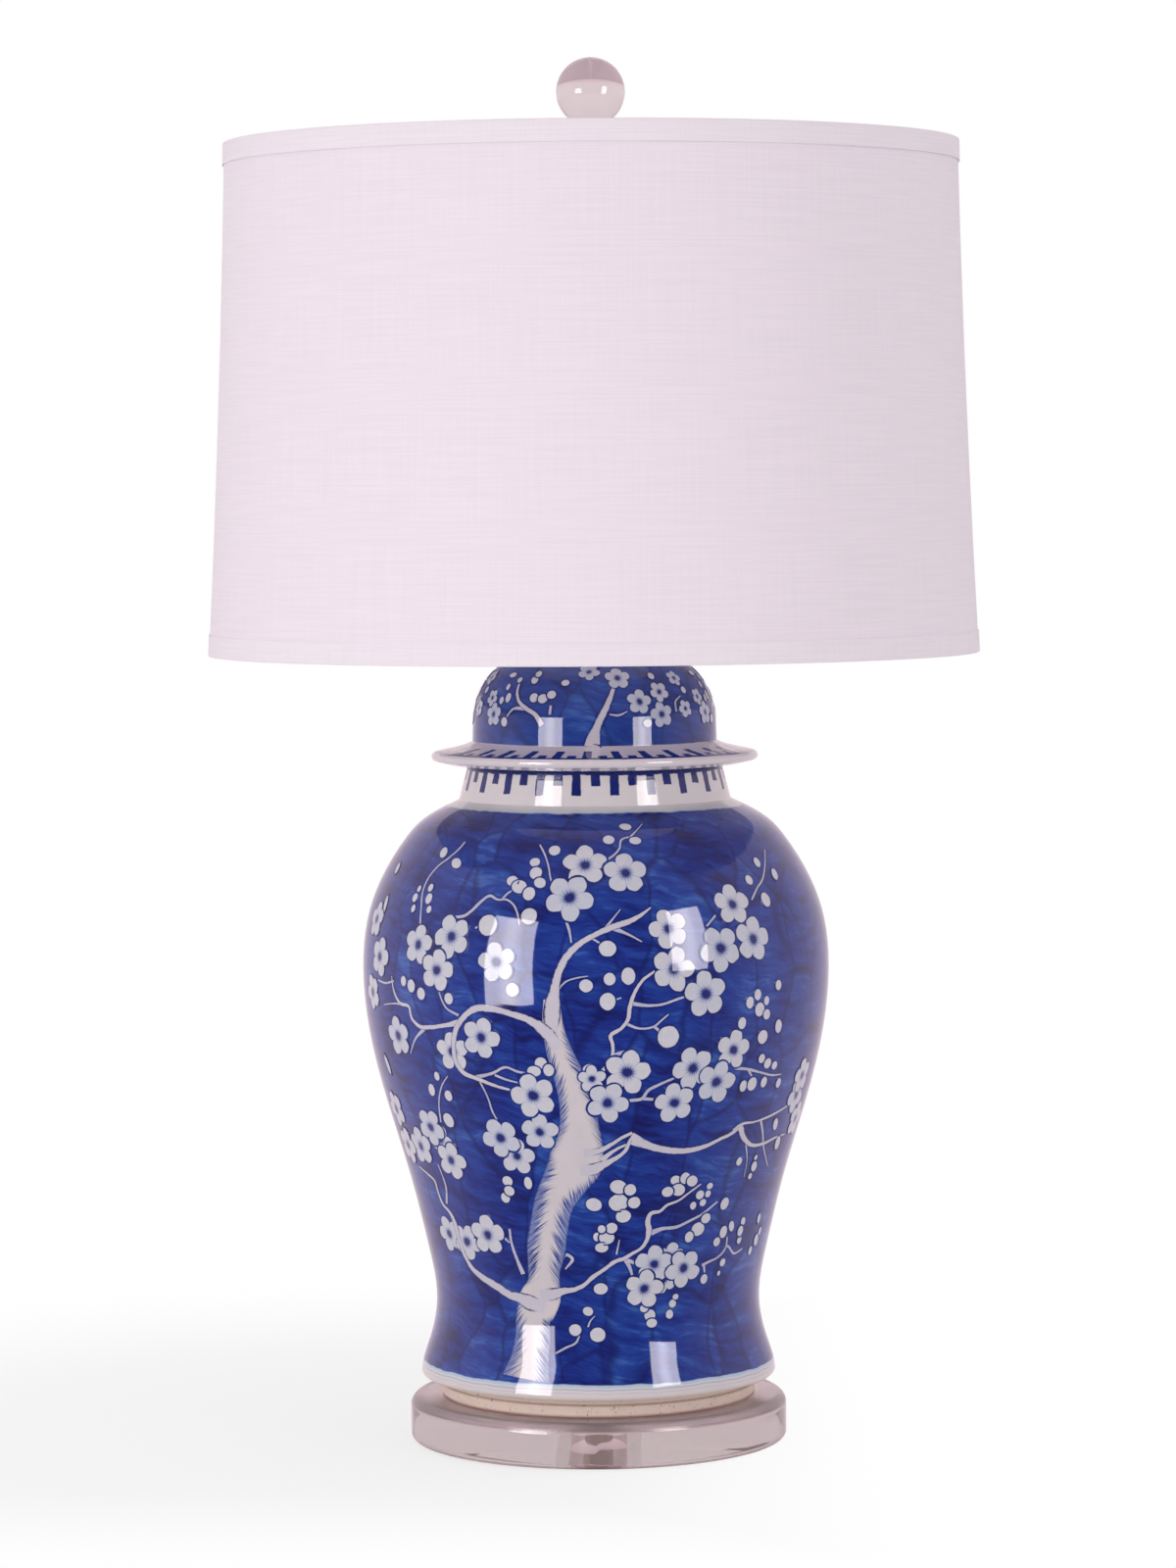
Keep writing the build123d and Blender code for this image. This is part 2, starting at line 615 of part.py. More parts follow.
def finial_base():
    """The turned mount: a foot on the hub, a waist, a cup under the ball and a tapped hole for the stud."""
    low = HUB_TOP + SEAT_GAP
    bore = 3.05 + RUNNING
    foot = ThreePointArc(at(9.2, low), at(10.0, low + 1.2), at(9.2, low + 2.4))
    cove = Spline(
        at(9.2, low + 2.4), at(5.4, low + 6.4), at(5.2, low + 12.0), at(8.4, BALL_SEAT - 1.6),
        tangents=[(-1, 0, 0.2), (1, 0, 0.8)],
    )
    cup = ThreePointArc(at(8.4, BALL_SEAT - 1.6), at(8.7, BALL_SEAT - 0.7), at(7.6, BALL_SEAT))
    inside = Polyline(
        at(7.6, BALL_SEAT), at(SPIGOT_RADIUS, BALL_SEAT), at(SPIGOT_RADIUS, BALL_SEAT + SPIGOT_HEIGHT),
        at(0, BALL_SEAT + SPIGOT_HEIGHT), at(0, low + 14.0), at(bore, low + 13.0), at(bore, low), at(9.2, low),
    )
    return turned(foot, cove, cup, inside)


def finial_ball():
    """The clear ball, with a small flat and a blind hole where it is bonded to its mount."""
    centre = BALL_SEAT + math.sqrt(FINIAL_BALL_RADIUS ** 2 - 6.6 ** 2)
    ball = Pos(0, 0, centre) * Sphere(FINIAL_BALL_RADIUS)
    ball -= rod(FINIAL_BALL_RADIUS, BALL_SEAT - 5.0, BALL_SEAT)
    return ball - rod(SPIGOT_RADIUS + RUNNING, BALL_SEAT, BALL_SEAT + SPIGOT_HEIGHT + RUNNING)


PIECES = {
    "bumper_pads": bumper_pads(),
    "acrylic_base": acrylic_base(),
    "lead_gland": lead_gland(),
    "clamp_washer": clamp_washer(),
    "clamp_nut": clamp_nut(),
    "lamp_pipe": lamp_pipe(),
    "porcelain_jar": porcelain_jar(),
    "porcelain_lid": porcelain_lid(),
    "vase_cap": vase_cap(),
    "brass_neck": brass_neck(),
    "harp_saddle": harp_saddle(),
    "holder_cap": holder_cap(),
    "cap_grub_screw": cap_grub_screw(),
    "holder_shell": holder_shell(),
    "shell_liner": shell_liner(),
    "holder_block": holder_block(),
    "terminal_screws": terminal_screws(),
    "screw_shell": screw_shell(),
    "centre_contact": centre_contact(),
    "key_shaft": key_shaft(),
    "key_knob": key_knob(),
    "harp_bow": harp_bow(),
    "harp_bridge": harp_bridge(),
    "ferrule_left": ferrule(-1),
    "ferrule_right": ferrule(1),
    "harp_stud": harp_stud(),
    "spider_hub": spider_hub(),
    "spider_arms": spider_arms(),
    "top_ring": wire_ring(TOP_RING_Z),
    "bottom_ring": wire_ring(BOTTOM_RING_Z),
    "shade_liner": shade_liner(),
    "shade_cloth": shade_cloth(),
    "top_hem": hem_tape(SHADE_TOP, -1) - spider_arms(),
    "bottom_hem": hem_tape(SHADE_BOTTOM, 1),
    "finial_base": finial_base(),
    "finial_ball": finial_ball(),
}

os.makedirs("parts", exist_ok=True)
for name, piece in PIECES.items():
    export_step(piece, f"parts/{name}.step")
print("lamp height", round(PIECES["finial_ball"].bounding_box().max.Z, 1), "mm")
print("shade", round(SHADE_BOTTOM, 1), "to", round(SHADE_TOP, 1), "mm up")
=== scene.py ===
# %% [markdown]
# # A temple-jar table lamp in blue and white
# The lamp is a lidded porcelain jar painted with plum blossom, standing on a clear acrylic disc, under a
# linen drum shade. The solids of every piece come ready made, at their real size in metres. This lesson
# gives them their looks: the glaze and its brushwork, the cloth, the clear acrylic and the brass.
#
# The painting is the heart of the lamp. It could be one huge shader, or a picture wrapped round the jar.
# Here each brush stroke and each blossom is a thin patch of enamel laid on the wall, because a patch can
# be placed by eye, takes the jar's curve exactly, and keeps a crisp edge however close the camera comes.

# %% Load the solids
import json
import math
import bmesh
import bpy
import numpy as np
from mathutils import Matrix, Vector


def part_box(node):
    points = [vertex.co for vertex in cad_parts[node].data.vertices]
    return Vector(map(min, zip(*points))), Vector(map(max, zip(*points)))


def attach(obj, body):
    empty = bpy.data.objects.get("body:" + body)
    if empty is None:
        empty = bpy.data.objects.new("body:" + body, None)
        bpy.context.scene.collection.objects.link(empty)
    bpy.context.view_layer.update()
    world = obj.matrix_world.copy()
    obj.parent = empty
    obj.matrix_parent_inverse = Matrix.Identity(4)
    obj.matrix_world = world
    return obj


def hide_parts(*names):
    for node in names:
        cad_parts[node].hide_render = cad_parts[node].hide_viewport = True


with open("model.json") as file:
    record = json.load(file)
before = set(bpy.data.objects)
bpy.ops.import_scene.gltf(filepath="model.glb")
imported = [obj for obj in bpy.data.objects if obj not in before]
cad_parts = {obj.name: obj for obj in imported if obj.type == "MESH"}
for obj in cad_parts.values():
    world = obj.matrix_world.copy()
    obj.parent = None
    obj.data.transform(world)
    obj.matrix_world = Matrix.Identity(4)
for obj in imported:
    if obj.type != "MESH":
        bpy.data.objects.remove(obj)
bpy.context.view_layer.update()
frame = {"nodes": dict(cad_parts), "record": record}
SOLIDS = frame["nodes"]
MM = 0.001
MICRON = 1e-6

# %% [markdown]
# ## The camera
# The photograph was taken from 2.9 m away with a long lens, a little above the middle of the lamp. The
# rims of the shade and the foot are ellipses, and how fast they open tells where eye level is: row 488 of
# the photograph. Distances are counted in pixels of a 1200 by 1600 picture, so one focal length serves
# both the camera and the rays that later carry the painter's layout on to the glaze.

# %% Camera
PHOTO_COLUMNS, PHOTO_ROWS = 1200, 1600
FOCAL_PIXELS = 5278.0
EYE = np.array([0.0, -2.9, 0.5412])
EYE_LEVEL_ROW = 488.0
AXIS_COLUMN = 607.0           # where the lamp's axis crosses the middle row
LEAN = math.radians(0.37)     # the photograph is turned by this much
SENSOR = 36.0

pitch = math.atan((PHOTO_ROWS / 2 - EYE_LEVEL_ROW) / FOCAL_PIXELS)
yaw = math.atan((AXIS_COLUMN - PHOTO_COLUMNS / 2) / FOCAL_PIXELS)
turn = Matrix.Rotation(yaw, 3, "Z") @ Matrix.Rotation(math.pi / 2 - pitch, 3, "X") @ Matrix.Rotation(-LEAN, 3, "Z")


def into_scene(name, data):
    """A new object in the scene, at the origin."""
    thing = bpy.data.objects.new(name, data)
    bpy.context.scene.collection.objects.link(thing)
    return thing


camera_data = bpy.data.cameras.new("camera")
camera_data.sensor_fit = "VERTICAL"
camera_data.sensor_height = SENSOR
camera_data.lens = FOCAL_PIXELS / PHOTO_ROWS * SENSOR
camera = into_scene("camera", camera_data)
camera.matrix_world = Matrix.Translation(EYE) @ turn.to_4x4()
bpy.context.scene.camera = camera
print("lens", round(camera_data.lens, 1), "mm, looking down", round(math.degrees(pitch), 2), "degrees")


def rays(columns, rows):
    """Directions from the eye through points of the photograph: (column, row, focal length) turned into the room."""
    seen = np.stack([
        (np.asarray(columns, float) - PHOTO_COLUMNS / 2) / FOCAL_PIXELS,
        (PHOTO_ROWS / 2 - np.asarray(rows, float)) / FOCAL_PIXELS,
        -np.ones(len(columns)),
    ], axis=1)
    return seen @ np.array(turn).T


# %% [markdown]
# ## Meshes from arrays
# A surface here is a grid of points worked out with numpy. These helpers turn arrays into mesh objects.
# Every mesh is closed, its faces point outwards, and its object sits at the origin with its place in its
# points. A solid that arrives as loose triangles is copied and its shared corners are merged, so that
# light rolls over it smoothly and only real edges stay sharp.

# %% Mesh helpers
def mesh_from(name, points, faces, uv=None, sharp=None):
    """A mesh object from points (n, 3) and faces; uv is one pair for each point; sharp is the angle of a real edge."""
    mesh = bpy.data.meshes.new(name)
    mesh.from_pydata(points.tolist(), [], [tuple(f) for f in faces])
    if uv is not None:
        corner_points = np.empty(len(mesh.loops), np.int32)
        mesh.loops.foreach_get("vertex_index", corner_points)
        layer = mesh.uv_layers.new(name="UVMap")
        layer.data.foreach_set("uv", uv[corner_points].astype(np.float32).ravel())
    mesh.shade_smooth()
    if sharp is not None:
        mesh.set_sharp_from_angle(angle=math.radians(sharp))
    mesh.update()
    return into_scene(name, mesh)


def points_of(mesh):
    """A mesh's points as an array (n, 3)."""
    points = np.empty(len(mesh.vertices) * 3)
    mesh.vertices.foreach_get("co", points)
    return points.reshape(-1, 3)


def grid_faces(rows, columns):
    """Quads of an open grid of points, row i to i + 1 and column j to j + 1, and the grid's rim, once round."""
    index = np.arange(rows * columns).reshape(rows, columns)
    faces = np.stack([index[:-1, :-1], index[1:, :-1], index[1:, 1:], index[:-1, 1:]], axis=-1).reshape(-1, 4)
    return faces, np.r_[index[:, 0], index[-1, 1:], index[-2::-1, -1], index[0, -2:0:-1]]


def slab_faces(faces, rim, n):
    """A closed slab: the faces over points 0 to n, the same turned over on points n to 2n, and sides round the rim."""
    after = np.roll(rim, -1)
    sides = np.stack([rim, rim + n, after + n, after], axis=1)
    return [tuple(f) for f in faces] + [tuple(np.asarray(f)[::-1] + n) for f in faces] + [tuple(f) for f in sides]


def ring_faces(rows, columns):
    """Quads of a grid that closes on itself both ways: row i to i + 1, column j to j + 1."""
    index = np.arange(rows * columns).reshape(rows, columns)
    below, right = np.roll(index, -1, 0), np.roll(index, -1, 1)
    return np.stack([index, right, np.roll(below, -1, 1), below], axis=-1).reshape(-1, 4)


def revolved(name, outline, steps, sharp=30):
    """A closed ring-shaped solid: the outline's points (radius, height), anticlockwise, swept round the Z axis.
    The UV is the distance round the outline's mean radius and the distance along the outline, both in metres."""
    angle = np.arange(steps) / steps * 2 * math.pi
    radius, height = outline[:, 0:1], outline[:, 1:2]
    points = np.stack([radius * np.cos(angle), radius * np.sin(angle), height + 0 * angle], axis=-1)
    run = np.r_[0, np.cumsum(np.hypot(*np.diff(outline, axis=0).T))]
    across = angle * outline[:, 0].mean()
    uv = np.stack(np.broadcast_arrays(across[None, :], run[:, None]), axis=-1)
    return mesh_from(name, points.reshape(-1, 3), ring_faces(len(outline), steps), uv.reshape(-1, 2), sharp)


MERGE_WITHIN = 2 * MICRON
REAL_EDGE = 32                # degrees between two faces that meet in a sharp edge


def merged_copy(node):
    """A smooth copy of a solid: the same surface with its shared corners merged."""
    solid = SOLIDS[node].data
    copy = bpy.data.meshes.new(node + "_finish")
    copy.from_pydata(points_of(solid).tolist(), [], [tuple(p.vertices) for p in solid.polygons])
    work = bmesh.new()
    work.from_mesh(copy)
    bmesh.ops.remove_doubles(work, verts=work.verts, dist=MERGE_WITHIN)
    work.to_mesh(copy)
    work.free()
    copy.shade_smooth()
    copy.set_sharp_from_angle(angle=math.radians(REAL_EDGE))
    return into_scene(copy.name, copy)


def place(thing, body, slot, material, *nodes):
    """Gives a piece its body and material, and hides the solids that it stands in for.
    The slot is not used.
    """
    thing.data.materials.clear()
    thing.data.materials.append(material)
    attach(thing, body)
    if nodes:
        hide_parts(*nodes)
    return thing


# %% [markdown]
# ## Shader helpers
# A material is a small graph of nodes. With the classes below a formula reads almost as it would on paper:
# adding or multiplying two values adds the Math node that does it, and put joins a value to an input.

# %% Shader values
def srgb(red, green, blue):
    """A colour as the eye reads it, 0 to 255, in the linear values that a shader wants."""
    def linear(c):
        c = c / 255
        return c / 12.92 if c <= 0.04045 else ((c + 0.055) / 1.055) ** 2.4
    return (linear(red), linear(green), linear(blue), 1.0)


def lighter(colour, by):
    """A colour of 0 to 255 raised by a few levels."""
    return tuple(min(255, c + by) for c in colour)


def operator(operation, swapped=False):
    """A method that adds a Math node for an operator of Python."""
    def method(self, other=0.0):
        return self.graph.math(operation, *((other, self) if swapped else (self, other)))
    return method


class Value:
    """What a node puts out. Arithmetic with it adds Math nodes."""
    __add__ = __radd__ = operator("ADD")
    __mul__ = __rmul__ = operator("MULTIPLY")
    __sub__, __rsub__ = operator("SUBTRACT"), operator("SUBTRACT", swapped=True)
    __truediv__, __mod__, __abs__ = operator("DIVIDE"), operator("FLOORED_MODULO"), operator("ABSOLUTE")

    def __init__(self, graph, socket):
        self.graph, self.socket = graph, socket


class Outputs:
    """A node's outputs, read by name or by number."""

    def __init__(self, graph, node):
        self.graph, self.node = graph, node

    def __getitem__(self, key):
        return Value(self.graph, self.node.outputs[key])


# %% Shader graph
class Graph:
    """Adds shader nodes to a tree and joins them."""

    def __init__(self, tree):
        self.tree = tree

    def put(self, node, inputs):
        """Joins values to a node's inputs, and sets plain numbers and colours on them."""
        for key, value in inputs.items():
            value = getattr(value, "socket", value)
            if isinstance(value, bpy.types.NodeSocket):
                self.tree.links.new(value, node.inputs[key])
            else:
                node.inputs[key].default_value = value

    def new(self, kind, inputs=None, **settings):
        """A new node, with its settings made and its inputs joined."""
        node = self.tree.nodes.new(kind)
        for key, value in settings.items():
            setattr(node, key, value)
        self.put(node, inputs or {})
        return node

    def add(self, kind, inputs=None, **settings):
        """The outputs of a new node."""
        return Outputs(self, self.new(kind, inputs, **settings))

    def math(self, operation, a, b=0.0):
        return self.add("ShaderNodeMath", {0: a, 1: b}, operation=operation)[0]

    def vector(self, operation, a, b):
        return self.add("ShaderNodeVectorMath", {0: a, 1: b}, operation=operation)[0]

    def length(self, a):
        return self.add("ShaderNodeVectorMath", {0: a}, operation="LENGTH")["Value"]

    def step(self, value, low, high, out_low=0.0, out_high=1.0):
        """Goes smoothly from out_low to out_high while value goes from low to high."""
        return self.add("ShaderNodeMapRange", {
            "Value": value, "From Min": low, "From Max": high, "To Min": out_low, "To Max": out_high,
        }, interpolation_type="SMOOTHSTEP")[0]

    def mix(self, share, a, b):
        """A share of the way from colour a to colour b. The Mix node's colours are its inputs 6 and 7, output 2."""
        return self.add("ShaderNodeMix", {0: share, 6: a, 7: b}, data_type="RGBA")[2]

    def noise(self, place, scale, detail=3.0, roughness=0.55):
        return self.add("ShaderNodeTexNoise", {
            "Vector": place, "Scale": scale, "Detail": detail, "Roughness": roughness})[0]

    def mottle(self, scale, detail, *tones):
        """A slow change between two tones over the surface."""
        return self.mix(self.noise(self.place(), scale, detail), *tones)

    def shift(self, scale):
        """A slow noise in all three directions at once, to sway a place with."""
        return self.add("ShaderNodeTexNoise", {"Vector": self.place(), "Scale": scale, "Detail": 1.0})[1]

    def split(self, vector):
        return self.add("ShaderNodeSeparateXYZ", {0: vector})

    def join(self, x, y, z=0.0):
        return self.add("ShaderNodeCombineXYZ", {0: x, 1: y, 2: z})[0]

    def place(self):
        return self.add("ShaderNodeTexCoord")["Object"]

    def uv(self):
        return self.add("ShaderNodeUVMap", uv_map="UVMap")[0]

    def tone(self):
        """The number that every point of a patch of enamel carries."""
        return self.add("ShaderNodeAttribute", attribute_name="tone")["Fac"]

    def ramp(self, value, *stops):
        """Colours at positions from 0 to 1 along a value."""
        node = self.new("ShaderNodeValToRGB", {0: value})
        while len(node.color_ramp.elements) < len(stops):
            node.color_ramp.elements.new(0.5)
        for element, (position, colour) in zip(node.color_ramp.elements, stops):
            element.position, element.color = position, colour
        return Outputs(self, node)[0]

    def bump(self, height, distance, strength):
        return self.add("ShaderNodeBump", {"Height": height, "Distance": distance, "Strength": strength})[0]

    def group(self, name, inputs=None):
        return self.add("ShaderNodeGroup", inputs, node_tree=bpy.data.node_groups[name])


def new_material(name):
    """An empty material: its graph and its one Principled shader."""
    material = bpy.data.materials.new(name)
    material.use_nodes = True
    return material, Graph(material.node_tree), material.node_tree.nodes["Principled BSDF"]


def new_group(name, inputs, outputs):
    """A node group with named float, vector or colour sockets: its graph, what it is given, and its output node."""
    tree = bpy.data.node_groups.new(name, "ShaderNodeTree")
    kinds = {"float": "NodeSocketFloat", "vector": "NodeSocketVector", "colour": "NodeSocketColor"}
    for way, sockets in (("INPUT", inputs), ("OUTPUT", outputs)):
        for label, kind in sockets.items():
            tree.interface.new_socket(label, in_out=way, socket_type=kinds[kind])
    graph = Graph(tree)
    return graph, graph.add("NodeGroupInput"), graph.new("NodeGroupOutput")


# %% [markdown]
# ## The room
# A pale floor runs off to white. The camera, mirrors and clear pieces see a white room, but its light is
# kept plain: two soft panels in front, left and right, and an even light from all round. The photograph
# shows both panels as bright oblongs in the glaze. Their corners on belly, neck, lid and foot, followed back
# along the reflected rays, tell how large each panel looks from the jar. So each lamp has a card 1.2 m away
# that only reflections can see.

# %% Floor
FLOOR_RADIUS, FLOOR_STEPS = 6.0, 64
FLOOR_SHARE = 0.72            # how much of the floor by the lamp is plain white
FRONT_GREY = 0.16             # brightness of floor and room that mirrors see in front
ROOM_TINT = (0.94, 0.79, 0.83, 1.0)


def make_floor():
    """A round white floor. Near the lamp it is a real surface that takes its shadow. Further out and in front it melts
    into white, and to the right it is whiter close to the lamp too: painted light where more light falls. Mirrors see
    it grey in front and white behind, like the room."""
    steps = np.linspace(0, 2 * math.pi, FLOOR_STEPS, endpoint=False)
    rim = np.c_[FLOOR_RADIUS * np.cos(steps), FLOOR_RADIUS * np.sin(steps), np.zeros(FLOOR_STEPS)]
    floor = mesh_from("floor", rim, [range(FLOOR_STEPS)])
    material, graph, shader = new_material("floor white")
    graph.put(shader, {"Base Color": srgb(246, 246, 246), "Roughness": 0.9, "Specular IOR Level": 0.0})
    x, y, _ = graph.split(graph.place())
    away = graph.length(graph.vector("SUBTRACT", graph.place(), (-0.1, 0.0, 0.0)))
    # painted light: to the right the floor is made white close to the lamp, where more light falls
    share = graph.math("MAXIMUM", graph.step(away, 0.2, 0.6, FLOOR_SHARE, 1.0),
                       graph.step(x, -0.08, 0.18, FLOOR_SHARE, 1.0))
    share = graph.math("MAXIMUM", share, graph.step(y, -0.36, -0.12, 0.99, FLOOR_SHARE))
    path = graph.add("ShaderNodeLightPath")
    seen = graph.math("MAXIMUM", path["Is Camera Ray"], path["Is Transmission Ray"])
    white = graph.add("ShaderNodeEmission", {"Color": (1, 1, 1, 1)})[0]
    melted = graph.add("ShaderNodeMixShader", {0: seen * share, 1: shader.outputs[0], 2: white})[0]
    facing = y / (graph.length(graph.place()) + 0.05)
    mirrored = graph.add("ShaderNodeEmission", {
        "Color": ROOM_TINT, "Strength": graph.step(facing, -0.9, 0.3, FRONT_GREY, 1.0)})[0]
    mixed = graph.add("ShaderNodeMixShader", {0: path["Is Glossy Ray"], 1: melted, 2: mirrored})[0]
    graph.put(material.node_tree.nodes["Material Output"], {"Surface": mixed})
    floor.data.materials.append(material)


make_floor()

# %% World and lamps
AMBIENT = 0.72
PANELS = {                    # azimuth from the front, width, height, foot, power
    "key": (-42.0, 0.80, 1.05, 0.02, 1.0),
    "fill": (45.0, 0.62, 1.05, 0.02, 0.40),
}
CARDS = {                     # azimuth, distance, width, foot, top, how far its top leans to the right, brightness
    "key": (-41.0, 1.20, 0.50, 0.02, 0.91, 0.0, 9.5),
    "fill": (45.5, 1.20, 0.39, 0.28, 1.03, 5.0, 9.5),
}
PANEL_DISTANCE = 1.75
PANEL_WATTS = 6.7
PANEL_COLOUR = (1.0, 0.975, 0.985)
CARD_COLOUR = (1.0, 0.94, 0.95, 1.0)
CARD_MIDDLE = 1.35            # how much brighter a card is along its middle


def make_world():
    world = bpy.data.worlds.new("room")
    bpy.context.scene.world = world
    world.use_nodes = True
    graph = Graph(world.node_tree)
    soft = world.node_tree.nodes["Background"]
    graph.put(soft, {"Color": srgb(255, 248, 252), "Strength": AMBIENT})
    path = graph.add("ShaderNodeLightPath")
    clear = graph.math("MAXIMUM", path["Is Camera Ray"], path["Is Transmission Ray"])
    white = graph.add("ShaderNodeBackground", {"Color": (1, 1, 1, 1), "Strength": 1.0})[0]
    front = graph.split(graph.add("ShaderNodeTexCoord")["Generated"])[1]
    mirrored = graph.add("ShaderNodeBackground", {
        "Color": ROOM_TINT, "Strength": graph.step(front, -0.85, 0.15, FRONT_GREY, 1.0)})[0]
    lit = graph.add("ShaderNodeMixShader", {0: path["Is Glossy Ray"], 1: soft.outputs[0], 2: mirrored})[0]
    seen = graph.add("ShaderNodeMixShader", {0: clear, 1: lit, 2: white})[0]
    graph.put(world.node_tree.nodes["World Output"], {"Surface": seen})


def make_panel(name, azimuth, width, height, foot, power):
    """A soft panel lamp that faces the jar."""
    angle = math.radians(azimuth)
    away = Vector((math.sin(angle), -math.cos(angle), 0))
    data = bpy.data.lights.new(name, "AREA")
    data.shape, data.size, data.size_y = "RECTANGLE", width, height
    data.energy = PANEL_WATTS * power
    data.color = PANEL_COLOUR
    lamp = into_scene(name, data)
    centre = away * PANEL_DISTANCE + Vector((0, 0, foot + height / 2))
    lamp.matrix_world = Matrix.Translation(centre) @ away.to_track_quat("Z", "Y").to_matrix().to_4x4()
    lamp.visible_glossy = False


def make_card(name, azimuth, distance, width, foot, top, lean, brightness):
    """A bright oblong that only reflections see, a little brighter along its middle."""
    angle = math.radians(azimuth)
    away = Vector((math.sin(angle), -math.cos(angle), 0)) * distance
    right = Vector((math.cos(angle), math.sin(angle), 0))
    side, slide = right * (width / 2), right * ((top - foot) / 2 * math.tan(math.radians(lean)))
    low, high = Vector((0, 0, foot)) - slide, Vector((0, 0, top)) + slide
    corners = np.array([away - side + low, away - side + high, away + side + high, away + side + low])
    card = mesh_from(name + "_card", corners, [(0, 1, 2, 3)], np.array([[0, 0], [0, 1], [1, 1], [1, 0]]))
    material, graph, _ = new_material(name + " card")
    off = abs(graph.split(graph.uv())[0] - 0.5)
    strength = graph.step(off, 0.02, 0.30, brightness * CARD_MIDDLE, brightness)
    glow = graph.add("ShaderNodeEmission", {"Color": CARD_COLOUR, "Strength": strength})[0]
    graph.put(material.node_tree.nodes["Material Output"], {"Surface": glow})
    card.data.materials.append(material)
    for ray in ("camera", "diffuse", "transmission", "shadow", "volume_scatter"):
        setattr(card, "visible_" + ray, False)


make_world()
for panel, facts in PANELS.items():
    make_panel(panel, *facts)
    make_card(panel, *CARDS[panel])
bpy.context.scene.view_settings.view_transform = "Standard"
print("two panels", PANEL_DISTANCE, "m away")

# %% [markdown]
# ## The jar's wall
# The jar is thrown, so all of its shape is in one curve. That curve is read from the solid: where a turned
# solid's surface starts and ends its turn, at azimuth 0, its mesh has a chain of points in the XZ plane.
# Walking that chain gives the outline, and turning it finely gives a wall that is smooth enough for glaze.

# %% Outline of a turned solid
def meridian(node):
    """The closed outline (radius, height) of a turned solid, anticlockwise, walked along its points at azimuth 0.
    Where a flat ring leaves a gap in the chain, the walk goes on at the nearest point not yet used."""
    solid = SOLIDS[node].data
    points = points_of(solid)
    on_seam = (np.abs(points[:, 1]) < 0.1 * MICRON) & (points[:, 0] > 0)
    keys = {}
    number = np.full(len(points), -1)
    for i in np.flatnonzero(on_seam):
        key = (round(points[i, 0] / MICRON), round(points[i, 2] / MICRON))
        number[i] = keys.setdefault(key, len(keys))
    corners = np.array(list(keys), float) * MICRON
    links = {i: set() for i in range(len(corners))}
    for edge in solid.edges:
        a, b = number[edge.vertices[0]], number[edge.vertices[1]]
        if a >= 0 and b >= 0 and a != b:
            links[a].add(b)
            links[b].add(a)
    start = int(np.argmin(corners[:, 1] * 10 - corners[:, 0]))
    walk, left = [start], set(range(len(corners))) - {start}
    while left:
        here = walk[-1]
        choice = [i for i in links[here] if i in left] or list(left)
        nearest = min(choice, key=lambda i: np.hypot(*(corners[i] - corners[here])))
        walk.append(nearest)
        left.discard(nearest)
    loop = corners[walk]
    area = np.sum(loop[:, 0] * np.roll(loop[:, 1], -1) - np.roll(loop[:, 0], -1) * loop[:, 1])
    return loop if area > 0 else np.roll(loop[::-1], 1, axis=0)


def thickened(outline, spacing):
    """The same closed outline with no two neighbours further apart than the spacing."""
    ends = np.roll(outline, -1, axis=0)
    counts = np.maximum(1, np.ceil(np.hypot(*(ends - outline).T) / spacing).astype(int))
    shares = np.concatenate([np.arange(n) / n for n in counts])[:, None]
    return np.repeat(outline, counts, axis=0) * (1 - shares) + np.repeat(ends, counts, axis=0) * shares


NEAREST, FARTHEST, RAY_STEP = 2.72, 3.0, 0.2 * MM       # from the eye, where the wall can be met


class Wall:
    """The outer side of a turned outline, from its foot up to its rim, as a surface to paint on.
    A place on it is (azimuth, run): azimuth 0 faces the front and grows to the right, run is the way up the wall."""

    def __init__(self, outline, low, high):
        foot = int(np.argmin(np.abs(outline[:, 1] - low) - outline[:, 0]))
        chain = np.roll(outline, -foot, axis=0)
        chain = chain[: int(np.argmax(chain[:, 1] >= high)) + 1]
        self.radius, self.height = chain[:, 0], chain[:, 1]
        slope = np.gradient(chain, axis=0)
        slope /= np.hypot(*slope.T)[:, None]
        self.out, self.up = slope[:, 1], -slope[:, 0]
        self.run = np.r_[0, np.cumsum(np.hypot(*np.diff(chain, axis=0).T))]

    def at(self, azimuth, run, lift=0.0):
        """Points on the wall, raised off it by lift, and the wall's outward directions there."""
        radius = np.interp(run, self.run, self.radius)
        height = np.interp(run, self.run, self.height)
        out, up = np.interp(run, self.run, self.out), np.interp(run, self.run, self.up)
        facing = np.stack([out * np.sin(azimuth), -out * np.cos(azimuth), up], axis=-1)
        points = np.stack([radius * np.sin(azimuth), -radius * np.cos(azimuth), height], axis=-1)
        return points + np.asarray(lift)[..., None] * facing, facing

    def seen(self, columns, rows):
        """(azimuth, run) of points of the photograph: each ray is followed in small steps until it meets the wall.
        A ray that just misses the wall counts as meeting it where it passes closest."""
        along = np.arange(NEAREST, FARTHEST, RAY_STEP)
        direction = rays(columns, rows)
        steps = EYE + along[None, :, None] * direction[:, None, :] / np.abs(direction[:, 1])[:, None, None]
        wall = np.interp(steps[..., 2], self.height, self.radius)
        gap = np.hypot(steps[..., 0], steps[..., 1]) - wall
        hit = np.where((gap < 0).any(axis=1), np.argmax(gap < 0, axis=1), np.argmin(gap, axis=1))
        found = steps[np.arange(len(hit)), hit]
        return np.arctan2(found[:, 0], -found[:, 1]), np.interp(found[:, 2], self.height, self.run)


